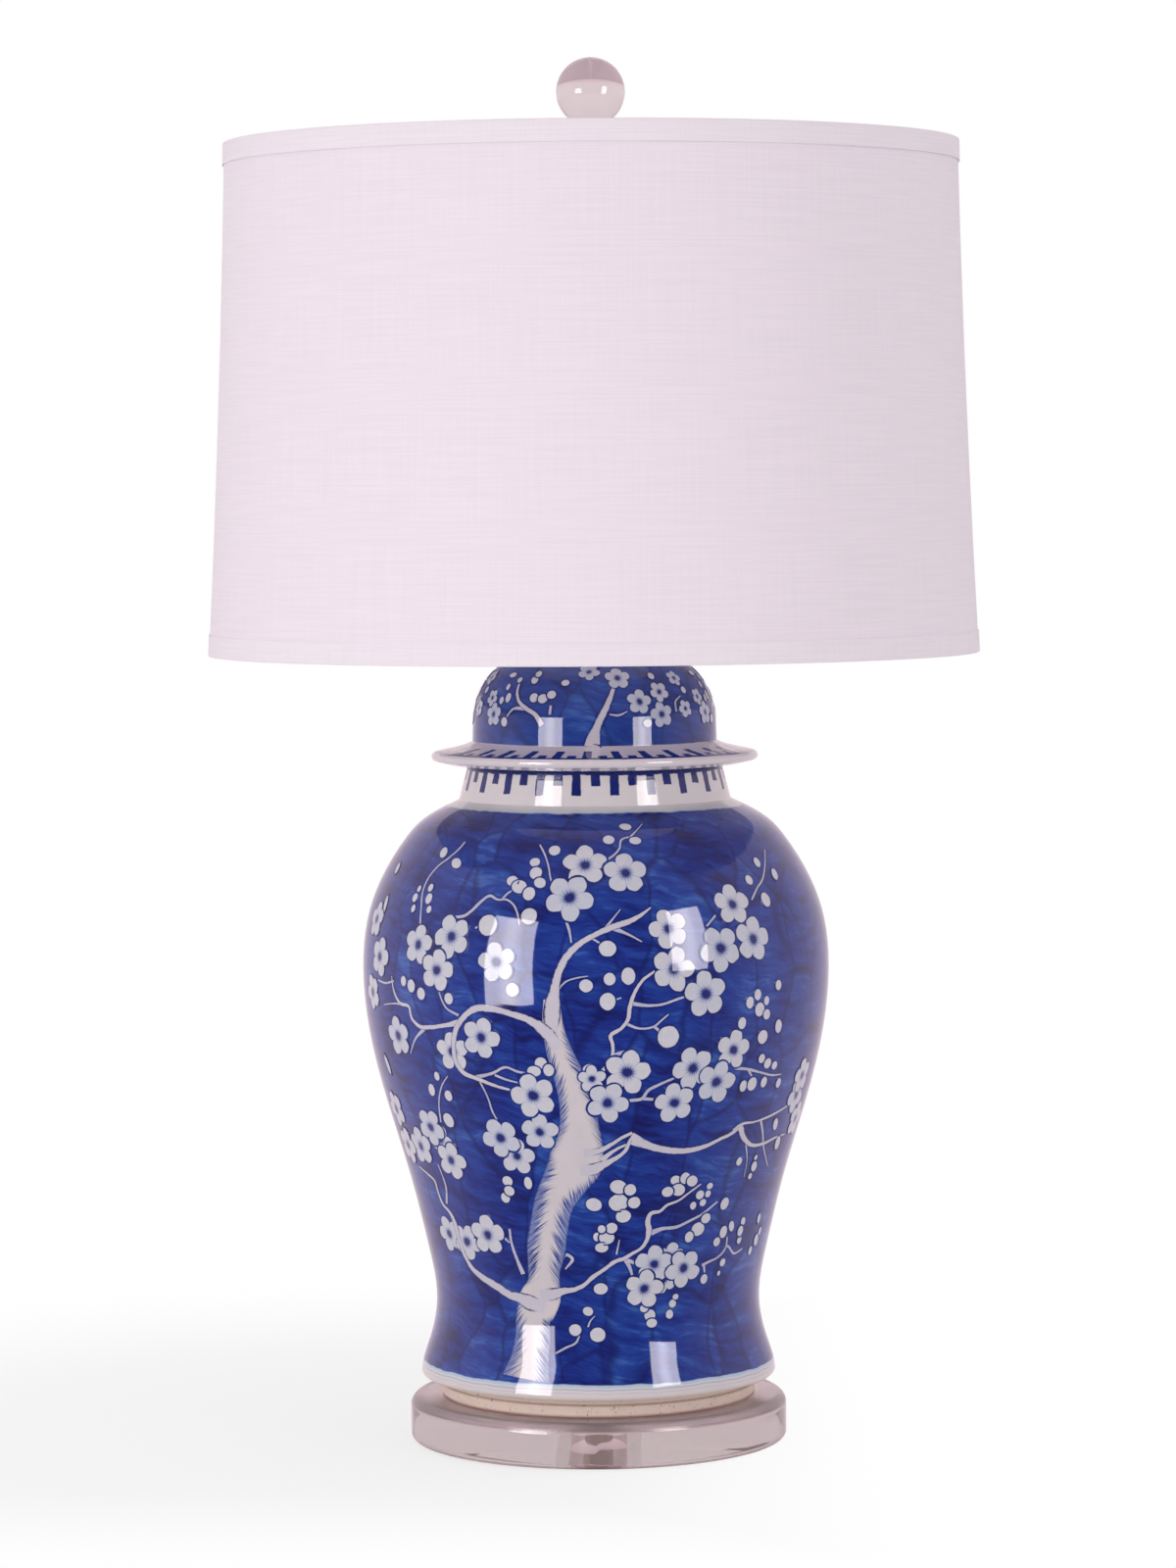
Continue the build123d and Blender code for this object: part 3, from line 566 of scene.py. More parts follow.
# %% Turn the jar and the lid
TURN_STEPS = 288
ROW_SPACING = 3.0 * MM
GLAZE_EDGE = 37.9 * MM        # below this the clay is bare
BLUE_FROM = 46.4 * MM
BLUE_TO = 358.6 * MM
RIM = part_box("porcelain_jar")[1].z
jar_outline = meridian("porcelain_jar")
lid_outline = meridian("porcelain_lid")
LID_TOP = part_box("porcelain_lid")[1].z
DOME_FROM = RIM + 13.4 * MM
jar_wall = Wall(jar_outline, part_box("porcelain_jar")[0].z, RIM - MICRON)
lid_wall = Wall(lid_outline, DOME_FROM - 0.3 * MM, LID_TOP - MICRON)
jar = revolved("jar", thickened(jar_outline, ROW_SPACING), TURN_STEPS)
lid = revolved("lid", thickened(lid_outline, ROW_SPACING), TURN_STEPS)
print("jar wall", round(jar_wall.run[-1], 3), "m from foot to rim;", len(jar.data.polygons), "faces")

# %% [markdown]
# ## Cobalt
# The ground is not one blue. It is washed on in upright panels, each filled with short curved strokes that
# overlap and get thinner towards its top, and the panels meet in thin dark lines. The same wash has to be
# under every patch of enamel, so that a patch's margin disappears into the wall around it. That makes it a
# group: it depends only on the place in the room, so wall and patch always agree.

# %% Cobalt wash
COBALT_DEEP = srgb(16, 24, 90)
COBALT_DARK = srgb(22, 43, 128)
COBALT_MID = srgb(32, 64, 150)
COBALT_PALE = srgb(64, 106, 180)
COBALT_THIN = srgb(106, 144, 206)
PAINT_WHITE = srgb(207, 203, 209)


def make_cobalt_wash():
    """Color is the wash itself. Deep is the darker blue that outlines white enamel."""
    graph, _, output = new_group("cobalt wash", {}, {"Color": "colour", "Deep": "colour"})
    spot = graph.place()
    sway = graph.noise(spot, 26.0, 2.0)
    swayed = graph.vector("ADD", spot, graph.vector("MULTIPLY", graph.shift(30.0), (0.012, 0.012, 0.022)))
    panel_place = graph.vector("MULTIPLY", swayed, (34.0, 34.0, 17.0))
    panel = {"Vector": panel_place, "Scale": 1.0}
    edge = graph.add("ShaderNodeTexVoronoi", panel, feature="DISTANCE_TO_EDGE")[0]
    cell = graph.add("ShaderNodeTexVoronoi", panel)
    rise = graph.split(graph.vector("SUBTRACT", panel_place, cell["Position"]))[2]
    tilt = sway * 0.020 + graph.split(spot)[0] * 0.2
    arcs = graph.vector("ADD", spot, graph.join(0.0, 0.0, tilt))
    stroke = graph.noise(graph.vector("MULTIPLY", arcs, (34.0, 34.0, 190.0)), 1.0, 3.0, 0.65)
    fine = graph.noise(graph.vector("MULTIPLY", arcs, (110.0, 110.0, 620.0)), 1.0, 2.0, 0.5)
    pool = graph.noise(spot, 30.0, 4.0)
    tone = stroke * 1.15 - 0.25
    for value, share in ((fine, 0.30), (pool, 0.80), (graph.split(cell["Color"])[0], 0.18)):
        tone = tone + (value * share - share / 2)
    tone = rise * 0.12 + tone
    wash = graph.ramp(tone, (0.0, COBALT_DEEP), (0.20, COBALT_DARK), (0.46, COBALT_MID), (0.72, COBALT_PALE),
                      (1.0, COBALT_THIN))
    line = graph.step(edge, 0.0, 0.06, 0.6, 0.0)
    deep = graph.mix(graph.step(pool, 0.3, 0.7), COBALT_DEEP, COBALT_DARK)
    graph.put(output, {"Color": graph.mix(line, wash, COBALT_DEEP), "Deep": deep})


make_cobalt_wash()


# %% [markdown]
# ### The dentil borders
# Round the neck and on top of the lid's flange runs a row of square teeth, long and short in turn, that
# hang from a line. Both borders are one formula: the azimuth times the number of teeth gives each tooth
# its place, and the depth below the line cuts it off.

# %% Dentil border
def make_dentil():
    """Mask is 1 in a tooth. Count is the teeth in a turn and Half half a tooth's share of its place. Depth is how far
    below the start of the border a point lies, and Long, Short and Line are measured the same way."""
    graph, given, output = new_group(
        "dentil border", {"Count": "float", "Phase": "float", "Depth": "float", "Long": "float", "Short": "float",
                          "Line": "float", "Half": "float"}, {"Mask": "float"})
    x, y, _ = graph.split(graph.place())
    wobble = graph.noise(graph.place(), 160.0, 2.0) * (1.6 * MM) - 0.8 * MM
    turn_share = graph.math("ARCTAN2", x, y * -1.0) / (2 * math.pi)
    order = turn_share * given["Count"] + (wobble * 90.0 + given["Phase"])
    within = abs(graph.math("FRACT", order) - 0.5)
    side = graph.step(within - given["Half"], -0.028, 0.028, 1.0, 0.0)
    odd = graph.math("GREATER_THAN", graph.math("FRACT", order * 0.5), 0.5)
    reach = given["Short"] + odd * (given["Long"] - given["Short"])
    depth = given["Depth"] + wobble
    tip = graph.step(depth - reach, -0.3 * MM, 0.3 * MM, 1.0, 0.0)
    started = graph.step(depth, -0.4 * MM, 0.1 * MM)
    line = graph.step(depth - given["Line"], -0.2 * MM, 0.2 * MM, 1.0, 0.0)
    teeth = started * graph.math("MAXIMUM", line, side * tip)
    graph.put(output, {"Mask": teeth})


make_dentil()


# %% [markdown]
# ### Glaze
# One clear glaze covers everything that is painted, so every painted material ends in the same shader
# settings: smooth, with the sheen of glass, over a colour that has no gloss of its own. A very slow
# unevenness in the height of the glaze makes the reflections waver a little, as they do on a thrown pot.

# %% Glaze
GLAZE_ROUGHNESS = 0.045
GLAZE_IOR = 1.52
CLAY_ROUGHNESS = 0.75


def glaze_over(graph, shader, colour, rough=GLAZE_ROUGHNESS):
    """Joins a colour to the shader under a clear glaze."""
    height = graph.noise(graph.place(), 34.0, 1.0)
    graph.put(shader, {"Base Color": colour, "IOR": GLAZE_IOR, "Roughness": rough,
                       "Normal": graph.bump(height, 0.35 * MM, 0.6)})


def clay(graph):
    """Bare fired clay: pale buff, a little mottled, with small dark specks."""
    spot = graph.place()
    mottle = graph.noise(spot, 140.0, 4.0)
    speck = graph.step(graph.noise(spot, 620.0, 1.0), 0.70, 0.74)
    buff = graph.mix(mottle, srgb(230, 210, 196), srgb(246, 230, 216))
    return graph.mix(speck, buff, srgb(140, 118, 106))


FOOT_LINES = [                # from, to, strength, colour: thin brush lines under the blue
    (44.95 * MM, 46.45 * MM, 0.8, (166, 200, 224)),
    (43.35 * MM, 44.05 * MM, 0.5, (140, 150, 188)),
    (41.55 * MM, 41.95 * MM, 0.35, (150, 156, 188)),
]
# painted light: the neck's white is a little lighter than the foot band's white, lifting the shade that the lid's
# flange and the lamp shade cast on the neck
NECK_WHITE_PAINTED_LIGHTER = (218, 214, 214)
FOOT_ENDS, NECK_STARTS = 0.1, 0.2           # between these heights, under the blue, one white becomes the other
SCORCHED_BELOW = 26.8 * MM                  # the lowest clay took more colour in the kiln
LIP_SHADE_FROM, LIP_SHADE_TO = 32.2 * MM, 34.5 * MM     # a darker band in the recess where the lip overhangs the foot ring: painted shade


def stripe(graph, level, low, high, blur, share=1.0):
    """A mask that is share between two levels and fades to nothing past them."""
    return graph.step(level, low - blur, low + blur) * graph.step(level, high - blur, high + blur, share, 0.0)


def make_jar_material():
    material, graph, shader = new_material("jar glaze")
    z = graph.split(graph.place())[2]
    ripple = graph.noise(graph.place(), 60.0, 2.0) * (2.4 * MM) - 1.2 * MM
    level = z + ripple
    # the lighter neck white is painted light against the shade under the flange
    milk = graph.mottle(30.0, 2.0, srgb(*NECK_WHITE_PAINTED_LIGHTER), srgb(*lighter(NECK_WHITE_PAINTED_LIGHTER, 8)))
    band = graph.mottle(45.0, 2.0, srgb(210, 206, 207), srgb(222, 217, 216))
    band = graph.mix(graph.step(level, GLAZE_EDGE, GLAZE_EDGE + 3 * MM, 0.8, 0.0), band, srgb(224, 212, 202))
    neck = graph.step(level, FOOT_ENDS, NECK_STARTS)
    white = graph.mix(neck, band, milk)
    for low, high, share, tint in FOOT_LINES:
        white = graph.mix(stripe(graph, level, low, high, 0.25 * MM, share), white, srgb(*tint))
    collar = neck * graph.step(level, BLUE_TO, BLUE_TO + 3.5 * MM, 0.8, 0.0)
    white = graph.mix(collar, white, srgb(186, 202, 208))
    blue = stripe(graph, level, BLUE_FROM, BLUE_TO, 0.4 * MM)
    painted = graph.mix(blue, white, graph.group("cobalt wash")["Color"])
    teeth = graph.group("dentil border", {
        "Count": 44.0, "Phase": 0.47, "Depth": RIM - 0.2 * MM - z, "Long": 13.1 * MM, "Short": 7.8 * MM,
        "Line": 2.2 * MM, "Half": 0.243})["Mask"]
    painted = graph.mix(teeth, painted, graph.mottle(240.0, 2.0, COBALT_DEEP, COBALT_DARK))
    bare = graph.step(z + ripple * 0.3, GLAZE_EDGE - 0.2 * MM, GLAZE_EDGE + 0.4 * MM, 1.0, 0.0)
    low = graph.step(z, SCORCHED_BELOW, SCORCHED_BELOW + 1.6 * MM, 0.65, 0.0)
    scorch = graph.mix(low, clay(graph), srgb(160, 104, 88))
    # painted shade: a darker band in the recess where the lip overhangs the foot ring
    lip_shade = graph.step(z, LIP_SHADE_FROM, LIP_SHADE_FROM + 1.1 * MM) * graph.step(z, LIP_SHADE_TO - 0.9 * MM, LIP_SHADE_TO, 0.5, 0.0)
    scorch = graph.mix(lip_shade, scorch, srgb(150, 116, 92))
    painted = graph.mix(bare, painted, scorch)
    glaze_over(graph, shader, painted, graph.step(bare, 0.3, 0.7, GLAZE_ROUGHNESS, CLAY_ROUGHNESS))
    return material


def make_lid_material():
    material, graph, shader = new_material("lid glaze")
    x, y, z = graph.split(graph.place())
    milk = graph.mottle(30.0, 2.0, srgb(214, 208, 212), srgb(224, 218, 222))
    ripple = graph.noise(graph.place(), 60.0, 2.0) * (0.6 * MM) - 0.3 * MM
    dome = graph.step(z + ripple, DOME_FROM - 0.2 * MM, DOME_FROM + 0.5 * MM)
    teeth = graph.group("dentil border", {
        "Count": 64.0, "Phase": 0.0, "Depth": 89.8 * MM - graph.length(graph.join(x, y)), "Long": 15.2 * MM,
        "Short": 7.2 * MM, "Line": 2.8 * MM, "Half": 0.30})["Mask"]
    on_top = teeth * graph.step(z, RIM + 7.0 * MM, RIM + 7.4 * MM)
    thin = graph.mix(0.15, graph.group("cobalt wash")["Color"], COBALT_PALE)
    flange = graph.mix(on_top, milk, graph.mottle(240.0, 2.0, COBALT_DEEP, COBALT_DARK))
    under = graph.step(z, RIM - 0.5 * MM, RIM + 0.4 * MM, 1.0, 0.0)
    painted = graph.mix(under, graph.mix(dome, flange, thin), clay(graph))
    glaze_over(graph, shader, painted, graph.step(under, 0.3, 0.7, GLAZE_ROUGHNESS, CLAY_ROUGHNESS))
    return material


place(jar, "root", "painted_porcelain", make_jar_material(), "porcelain_jar")
place(lid, "root", "painted_porcelain", make_lid_material(), "porcelain_lid")

# %% [markdown]
# ## Enamel patches
# Every blossom, bud and branch is a closed slab a fraction of a millimetre thick. Its top follows the wall
# and its underside is sunk in it. Patches of one kind are joined in one mesh. The top takes the wall's own
# outward directions, so that a reflection runs across a petal unbroken.
#
# Where one patch lies over another, the upper one is lifted a hair more, as paint would be.

# %% Enamel helpers
SUNK = 0.30 * MM
LIFT_HALO = 0.05 * MM
LIFT_TWIG = 0.09 * MM
LIFT_BEHIND = 0.12 * MM
LIFT_TRUNK = 0.13 * MM
LIFT_LIMB = 0.17 * MM
LIFT_BUD = 0.20 * MM
LIFT_BLOSSOM = 0.24 * MM
LIFT_STEP = 0.03 * MM         # neighbours in a cluster lie on one another
THINNEST = 0.25 * MM          # of a brush stroke


class Enamel:
    """Collects patches on a wall and joins them in one closed mesh."""

    def __init__(self, wall):
        self.wall, self.points, self.facing, self.faces = wall, [], [], []
        self.uv, self.tone, self.count = [], [], 0

    def add(self, azimuth, run, faces, rim, uv, tone, lift):
        """One patch: its places on the wall, the faces over them, its rim anticlockwise, and what the paint needs."""
        n = len(azimuth)
        for height in (lift, -SUNK):
            points, facing = self.wall.at(azimuth, run, height)
            self.points.append(points)
            self.facing.append(facing)
            self.uv.append(uv)
            self.tone.append(np.broadcast_to(tone, n))
        self.faces += [tuple(np.asarray(f) + self.count) for f in slab_faces(faces, rim, n)]
        self.count += 2 * n

    def build(self, name, material):
        thing = mesh_from(name, np.concatenate(self.points), self.faces, np.concatenate(self.uv), 30)
        tone = thing.data.attributes.new("tone", "FLOAT", "POINT")
        tone.data.foreach_set("value", np.concatenate(self.tone).astype(np.float32))
        thing.data.normals_split_custom_set_from_vertices(np.concatenate(self.facing).tolist())
        return place(thing, "root", "painted_porcelain", material)


def disc_faces(rings, steps):
    """Faces of a disc with a middle point and rings of points round it, and the outermost ring."""
    spokes = np.arange(steps)
    onward = (spokes + 1) % steps
    faces = [(0, 1 + a, 1 + b) for a, b in zip(spokes, onward)]
    for inner in range(1, 1 + (rings - 1) * steps, steps):
        outer = inner + steps
        faces += list(np.stack([inner + spokes, outer + spokes, outer + onward, inner + onward], axis=1))
    return faces, 1 + (rings - 1) * steps + spokes


def spread(wall, azimuth, run, x, y):
    """Places x to the right and y up from (azimuth, run), measured along the wall."""
    up = run + y
    return azimuth + x / np.interp(up, wall.run, wall.radius), up


def smooth_line(points, spacing):
    """A curve through the points at an even spacing: cubic pieces whose slopes come from each point's neighbours.
    The first two columns are places in metres, and the rest are carried along."""
    steps = np.hypot(*np.diff(points[:, :2], axis=0).T)
    mark = np.r_[0, np.cumsum(steps)]
    slope = (np.gradient(points, mark, axis=0) if len(points) > 2
             else np.repeat((points[1:] - points[:1]) / mark[-1], 2, axis=0))
    here = np.linspace(0, mark[-1], max(3, int(math.ceil(mark[-1] / spacing)) + 1))
    piece = np.clip(np.searchsorted(mark, here, side="right") - 1, 0, len(points) - 2)
    span = (mark[piece + 1] - mark[piece])[:, None]
    t = ((here - mark[piece])[:, None]) / span
    a, b = points[piece], points[piece + 1]
    a_slope, b_slope = slope[piece] * span, slope[piece + 1] * span
    curve = ((2 * t**3 - 3 * t**2 + 1) * a + (t**3 - 2 * t**2 + t) * a_slope
             + (3 * t**2 - 2 * t**3) * b + (t**3 - t**2) * b_slope)
    return curve, here


def ribbon(enamel, azimuth, run, width, extra, spacing, columns, tone, lift):
    """A brush stroke: points along it are moved square to it by its half width, plus extra on each side.
    The UV is the distance along the stroke and the share across it."""
    wall = enamel.wall
    middle = np.interp(run, wall.run, wall.radius).mean()
    line, mark = smooth_line(np.c_[azimuth * middle, run, width, np.broadcast_to(tone, len(run))], spacing)
    way = np.gradient(line[:, :2], mark, axis=0)
    way /= np.hypot(*way.T)[:, None]
    share = np.linspace(-1, 1, columns)
    half = (np.maximum(line[:, 2], THINNEST) / 2 + extra)[:, None] * share
    az, up = spread(wall, (line[:, 0] / middle)[:, None], line[:, 1][:, None],
                    -way[:, 1:2] * half, way[:, 0:1] * half)
    faces, rim = grid_faces(len(line), columns)
    uv = np.stack(np.broadcast_arrays(mark[:, None], share[None, :] * 0.5 + 0.5), axis=-1).reshape(-1, 2)
    enamel.add(np.broadcast_to(az, up.shape).ravel(), up.ravel(), faces, rim, uv, np.repeat(line[:, 3], columns), lift)


# %% [markdown]
# ## The painter's layout
# A plum tree rises from the foot, forks low, leans, and sends limbs round both sides. It is a stock subject
# of blue and white ware, and this one is laid out as on the photographed jar: each stroke is a row of
# points, (column, row, width) in pixels of the photograph. The rays of the camera carry
# them to the wall. The far side, which no photograph shows, has the same tree turned half round.

# %% Strokes on the jar
PIXELS_PER_METRE = 1900.0     # at the front of the belly
TRUNK = [                     # with a fourth number: the share of the width that is bare white
    (536, 1407, 58, 0.35), (540, 1389, 47, 0.38), (543.5, 1366, 42, 0.42), (544, 1344, 41, 0.55),
    (548, 1332, 44, 0.95), (553, 1321, 42, 1.0), (555, 1309, 36, 0.7), (555, 1298, 36, 0.38), (557, 1275, 43, 0.28),
    (560, 1253, 42, 0.26), (566, 1225, 43, 0.3), (578, 1203, 50, 0.55), (588, 1184, 56, 0.85), (591, 1166, 48, 0.8),
    (591, 1148, 42, 0.6), (588, 1122, 38, 0.45), (580, 1097, 33, 0.38), (570, 1071, 28, 0.45), (564, 1045, 22, 0.8),
    (563, 1020, 17, 1.0),
]
LIMBS = [
    [(564, 1056, 10), (563, 1038, 18), (564, 1024, 17), (566, 1010, 11), (571, 990, 8.5), (580, 974, 8),
     (593, 962, 7), (607, 954, 6), (625, 946, 7), (645, 939, 6), (655, 933, 4), (664, 926, 1.5)],
    [(570, 1070, 12), (558, 1054, 14), (540, 1041, 9), (520, 1034, 7), (500, 1029, 8), (486, 1029, 8),
     (473, 1038, 7), (465, 1052, 7), (463, 1070, 6), (466, 1085, 6), (474, 1095, 6), (486, 1100, 5), (503, 1107, 4),
     (524, 1113, 2.5)],
    [(470, 1043, 7), (455, 1046, 5), (440, 1048, 5), (428, 1047, 5), (420, 1038, 4), (418, 1028, 4), (408, 1023, 4),
     (402, 1010, 3), (400, 996, 1.5)],
    [(592, 1194, 12), (606, 1193, 14), (616, 1188, 9), (628, 1182, 5.5), (638, 1174, 4.5), (643, 1163, 4)],
    [(614, 1184, 6), (621, 1178, 4.5), (632, 1171, 3.5), (639, 1168, 3)],
    [(596, 1177, 9), (612, 1174, 7), (625, 1167, 4.5), (636, 1160, 4), (645, 1156, 4)],
    [(643, 1161, 13), (654, 1166, 11), (668, 1171, 8.5), (685, 1174, 8), (700, 1174, 7), (718, 1170, 5.5),
     (735, 1162, 4.5), (747, 1156, 5), (754, 1150, 8), (758, 1160, 7), (766, 1168, 5), (778, 1167, 4),
     (790, 1161, 3), (800, 1157, 2)],
    [(748, 1154, 5), (757, 1147, 4), (768, 1145, 2.5), (780, 1141, 3), (794, 1134, 3), (806, 1126, 2)],
    [(556, 1334, 12), (538, 1328, 17), (530, 1324, 12), (522, 1322, 10), (508, 1313, 10), (495, 1305, 9),
     (483, 1295, 7), (474, 1280, 6), (468, 1262, 6), (464, 1247, 7), (460, 1238, 5), (452, 1228, 4),
     (447, 1215, 3.5), (444, 1205, 3.5), (437, 1198, 3), (428, 1190, 2)],
    [(552, 1322, 14), (566, 1320, 13), (576, 1317, 8), (585, 1316, 6), (595, 1312, 5), (605, 1303, 5),
     (617, 1295, 4.5), (628, 1287, 5), (637, 1284, 5), (645, 1279, 4), (655, 1273, 4), (660, 1265, 5),
     (662, 1255, 7), (661, 1245, 6), (664, 1238, 5), (673, 1236, 4), (680, 1230, 3.5), (692, 1225, 3),
     (703, 1217, 2.5), (715, 1208, 2)],
    [(608, 1100, 3), (617, 1090, 4), (624, 1080, 4), (625, 1065, 4), (623, 1057, 5), (633, 1050, 4),
     (640, 1042, 4.5), (643, 1026, 5), (648, 1012, 4), (656, 1000, 3.5), (668, 991, 3)],
]
TWIGS = [
    [(625, 947, 5), (640, 953, 3), (655, 961, 1.5)],
    [(617, 948, 3), (625, 938, 2), (633, 928, 1.2)],
    [(603, 957, 2), (613, 963, 2), (620, 968, 1.5)],
    [(567, 1022, 3), (570, 1010, 2.2), (577, 1002, 2), (588, 998, 1.8), (600, 996, 1.2)],
    [(433, 1050, 4), (424, 1060, 3), (419, 1075, 1.5)],
    [(418, 1027, 3), (404, 1024, 2), (392, 1025, 1.2)],
    [(402, 1001, 2), (394, 1003, 2.5), (386, 1000, 2)],
    [(468, 1036, 3), (455, 1028, 2.5), (449, 1015, 2), (447, 1006, 2)],
    [(486, 1099, 4), (503, 1095, 3.5), (517, 1089, 3), (527, 1093, 3), (542, 1096, 2)],
    [(505, 1097, 2.5), (518, 1102, 2.5), (530, 1105, 2)],
    [(490, 1104, 2), (498, 1120, 2), (503, 1135, 2.5), (510, 1147, 2)],
    [(450, 1145, 2), (448, 1125, 2), (451, 1108, 2), (457, 1098, 1.2)],
    [(462, 936, 2.5), (475, 934, 3.5), (483, 928, 4), (491, 920, 4), (500, 914, 3.5), (508, 918, 3),
     (517, 918, 2.5), (523, 922, 2.5), (528, 932, 2.5), (530, 944, 2)],
    [(512, 918, 2), (519, 911, 2.5), (526, 907, 2)],
    [(485, 947, 2), (492, 944, 2), (498, 944, 2)],
    [(429, 947, 2.5), (430, 925, 2.5), (432, 908, 2.5), (438, 895, 2.5), (447, 884, 2.5), (460, 874, 2.5),
     (470, 865, 3), (475, 859, 2)],
    [(551, 862, 1.5), (556, 872, 2), (560, 885, 2), (562, 897, 2), (568, 910, 2)],
    [(577, 938, 2), (581, 950, 3), (583, 962, 2)],
    [(617, 879, 2), (627, 872, 2.5), (632, 866, 2.5), (634, 857, 2.5), (641, 854, 2)],
    [(641, 856, 2), (649, 848, 1.5), (655, 841, 1)],
    [(767, 918, 2), (773, 905, 2.5), (777, 899, 2.5), (780, 885, 2), (780, 867, 1.5)],
    [(721, 945, 2), (730, 934, 2.5)],
    [(645, 1024, 4), (660, 1026, 3.5), (675, 1025, 3), (690, 1020, 3), (702, 1016, 3)],
    [(640, 1045, 3), (650, 1049, 2.5), (662, 1049, 2.5), (668, 1047, 2.5), (675, 1041, 2.5), (682, 1035, 1.5)],
    [(667, 1047, 3), (673, 1052, 3), (680, 1056, 3)],
    [(626, 1076, 2), (632, 1075, 4), (639, 1072, 2)],
    [(626, 1021, 2), (634, 1018, 1.5)],
    [(636, 1125, 3), (643, 1123, 3.5), (655, 1121, 4), (661, 1113, 4), (672, 1107, 3.5), (688, 1100, 3)],
    [(655, 1121, 3.5), (670, 1122, 3)],
    [(750, 1090, 3), (763, 1091, 3.5), (775, 1094, 3), (788, 1097, 2.5), (797, 1096, 1.5)],
    [(763, 1091, 2.5), (769, 1102, 2)],
    [(776, 1142, 3), (778, 1155, 3), (779, 1170, 2.5), (783, 1190, 1.5)],
    [(761, 1168, 2), (762, 1185, 1.5), (759, 1201, 1)],
    [(456, 1228, 3), (455, 1210, 3), (451, 1198, 2.5), (447, 1188, 2)],
    [(534, 1300, 5), (527, 1283, 4), (522, 1268, 3.5), (520, 1254, 3)],
    [(664, 1258, 6), (675, 1254, 4.5), (690, 1252, 4), (703, 1246, 3.5), (716, 1239, 3), (725, 1232, 3),
     (732, 1226, 2.5)],
    [(637, 1284, 4), (642, 1292, 4), (645, 1301, 3)],
    [(640, 1286, 4), (652, 1290, 3.5)],
    [(716, 1291, 3), (724, 1287, 3), (732, 1283, 3), (738, 1277, 3), (741, 1272, 3), (749, 1279, 3),
     (757, 1274, 2.5)],
    [(741, 1272, 2.5), (742, 1262, 2)],
    [(718, 1290, 3), (719, 1301, 2)],
    [(567, 1381, 2), (578, 1375, 2.5), (588, 1370, 2.5), (592, 1360, 2.5)],
    [(562, 1288, 4), (572, 1288, 4), (578, 1280, 4), (584, 1284, 4), (577, 1295, 2)],
    [(600, 1354, 2), (603, 1347, 1.5), (607, 1343, 1.2)],
    [(629, 1280, 2), (632, 1265, 1.2)],
    [(603, 1200, 2), (595, 1215, 2.5), (588, 1219, 2)],
    [(510, 1258, 2), (516, 1264, 3), (520, 1268, 2)],
]

# %% Blossoms and buds on the jar
BLOSSOMS = [                  # eye, radius in pixels as if seen square on, quarter-turn of the first petal in degrees
    (597, 883, 22, 20), (581, 916, 24, 60), (427, 964, 20, 10), (461, 956, 22, 40), (446, 990, 21, 5),
    (507, 982, 20, 30), (388, 976, 20, 0), (381, 1012, 18, 40), (407, 1057, 20, 25), (638, 891, 22, 90),
    (747, 923, 21, 15), (735, 968, 23, 50), (768, 958, 22, 80), (687, 989, 22, 0), (682, 948, 20, 35),
    (720, 1014, 23, 25), (491, 1059, 21, 70), (544, 1118, 23, 35), (440, 1150, 20, 55), (430, 1169, 20, 20),
    (461, 1184, 20, 0), (511, 1161, 21, 45), (551, 1155, 19, 15), (528, 1180, 19, 80), (640, 1094, 23, 5),
    (620, 1125, 21, 62), (707, 1090, 22, 40), (748, 1071, 20, 10), (731, 1104, 22, 75), (688, 1125, 21, 30),
    (604, 1101, 14, 20), (812, 1117, 19, 50), (811, 1141, 18, 10), (818, 1097, 18, 30), (498, 1260, 21, 88),
    (667, 1290, 20, 15), (697, 1294, 20, 50), (657, 1315, 20, 80), (385, 938, 18, 20), (405, 1131, 19, 40),
    (417, 1168, 19, 70),
]
BEHIND = [
    (462, 1073, 20, 20), (459, 1259, 19, 35), (477, 1267, 19, 60), (450, 1163, 17, 60), (684, 1283, 16, 10),
    (677, 1306, 14, 40),
]
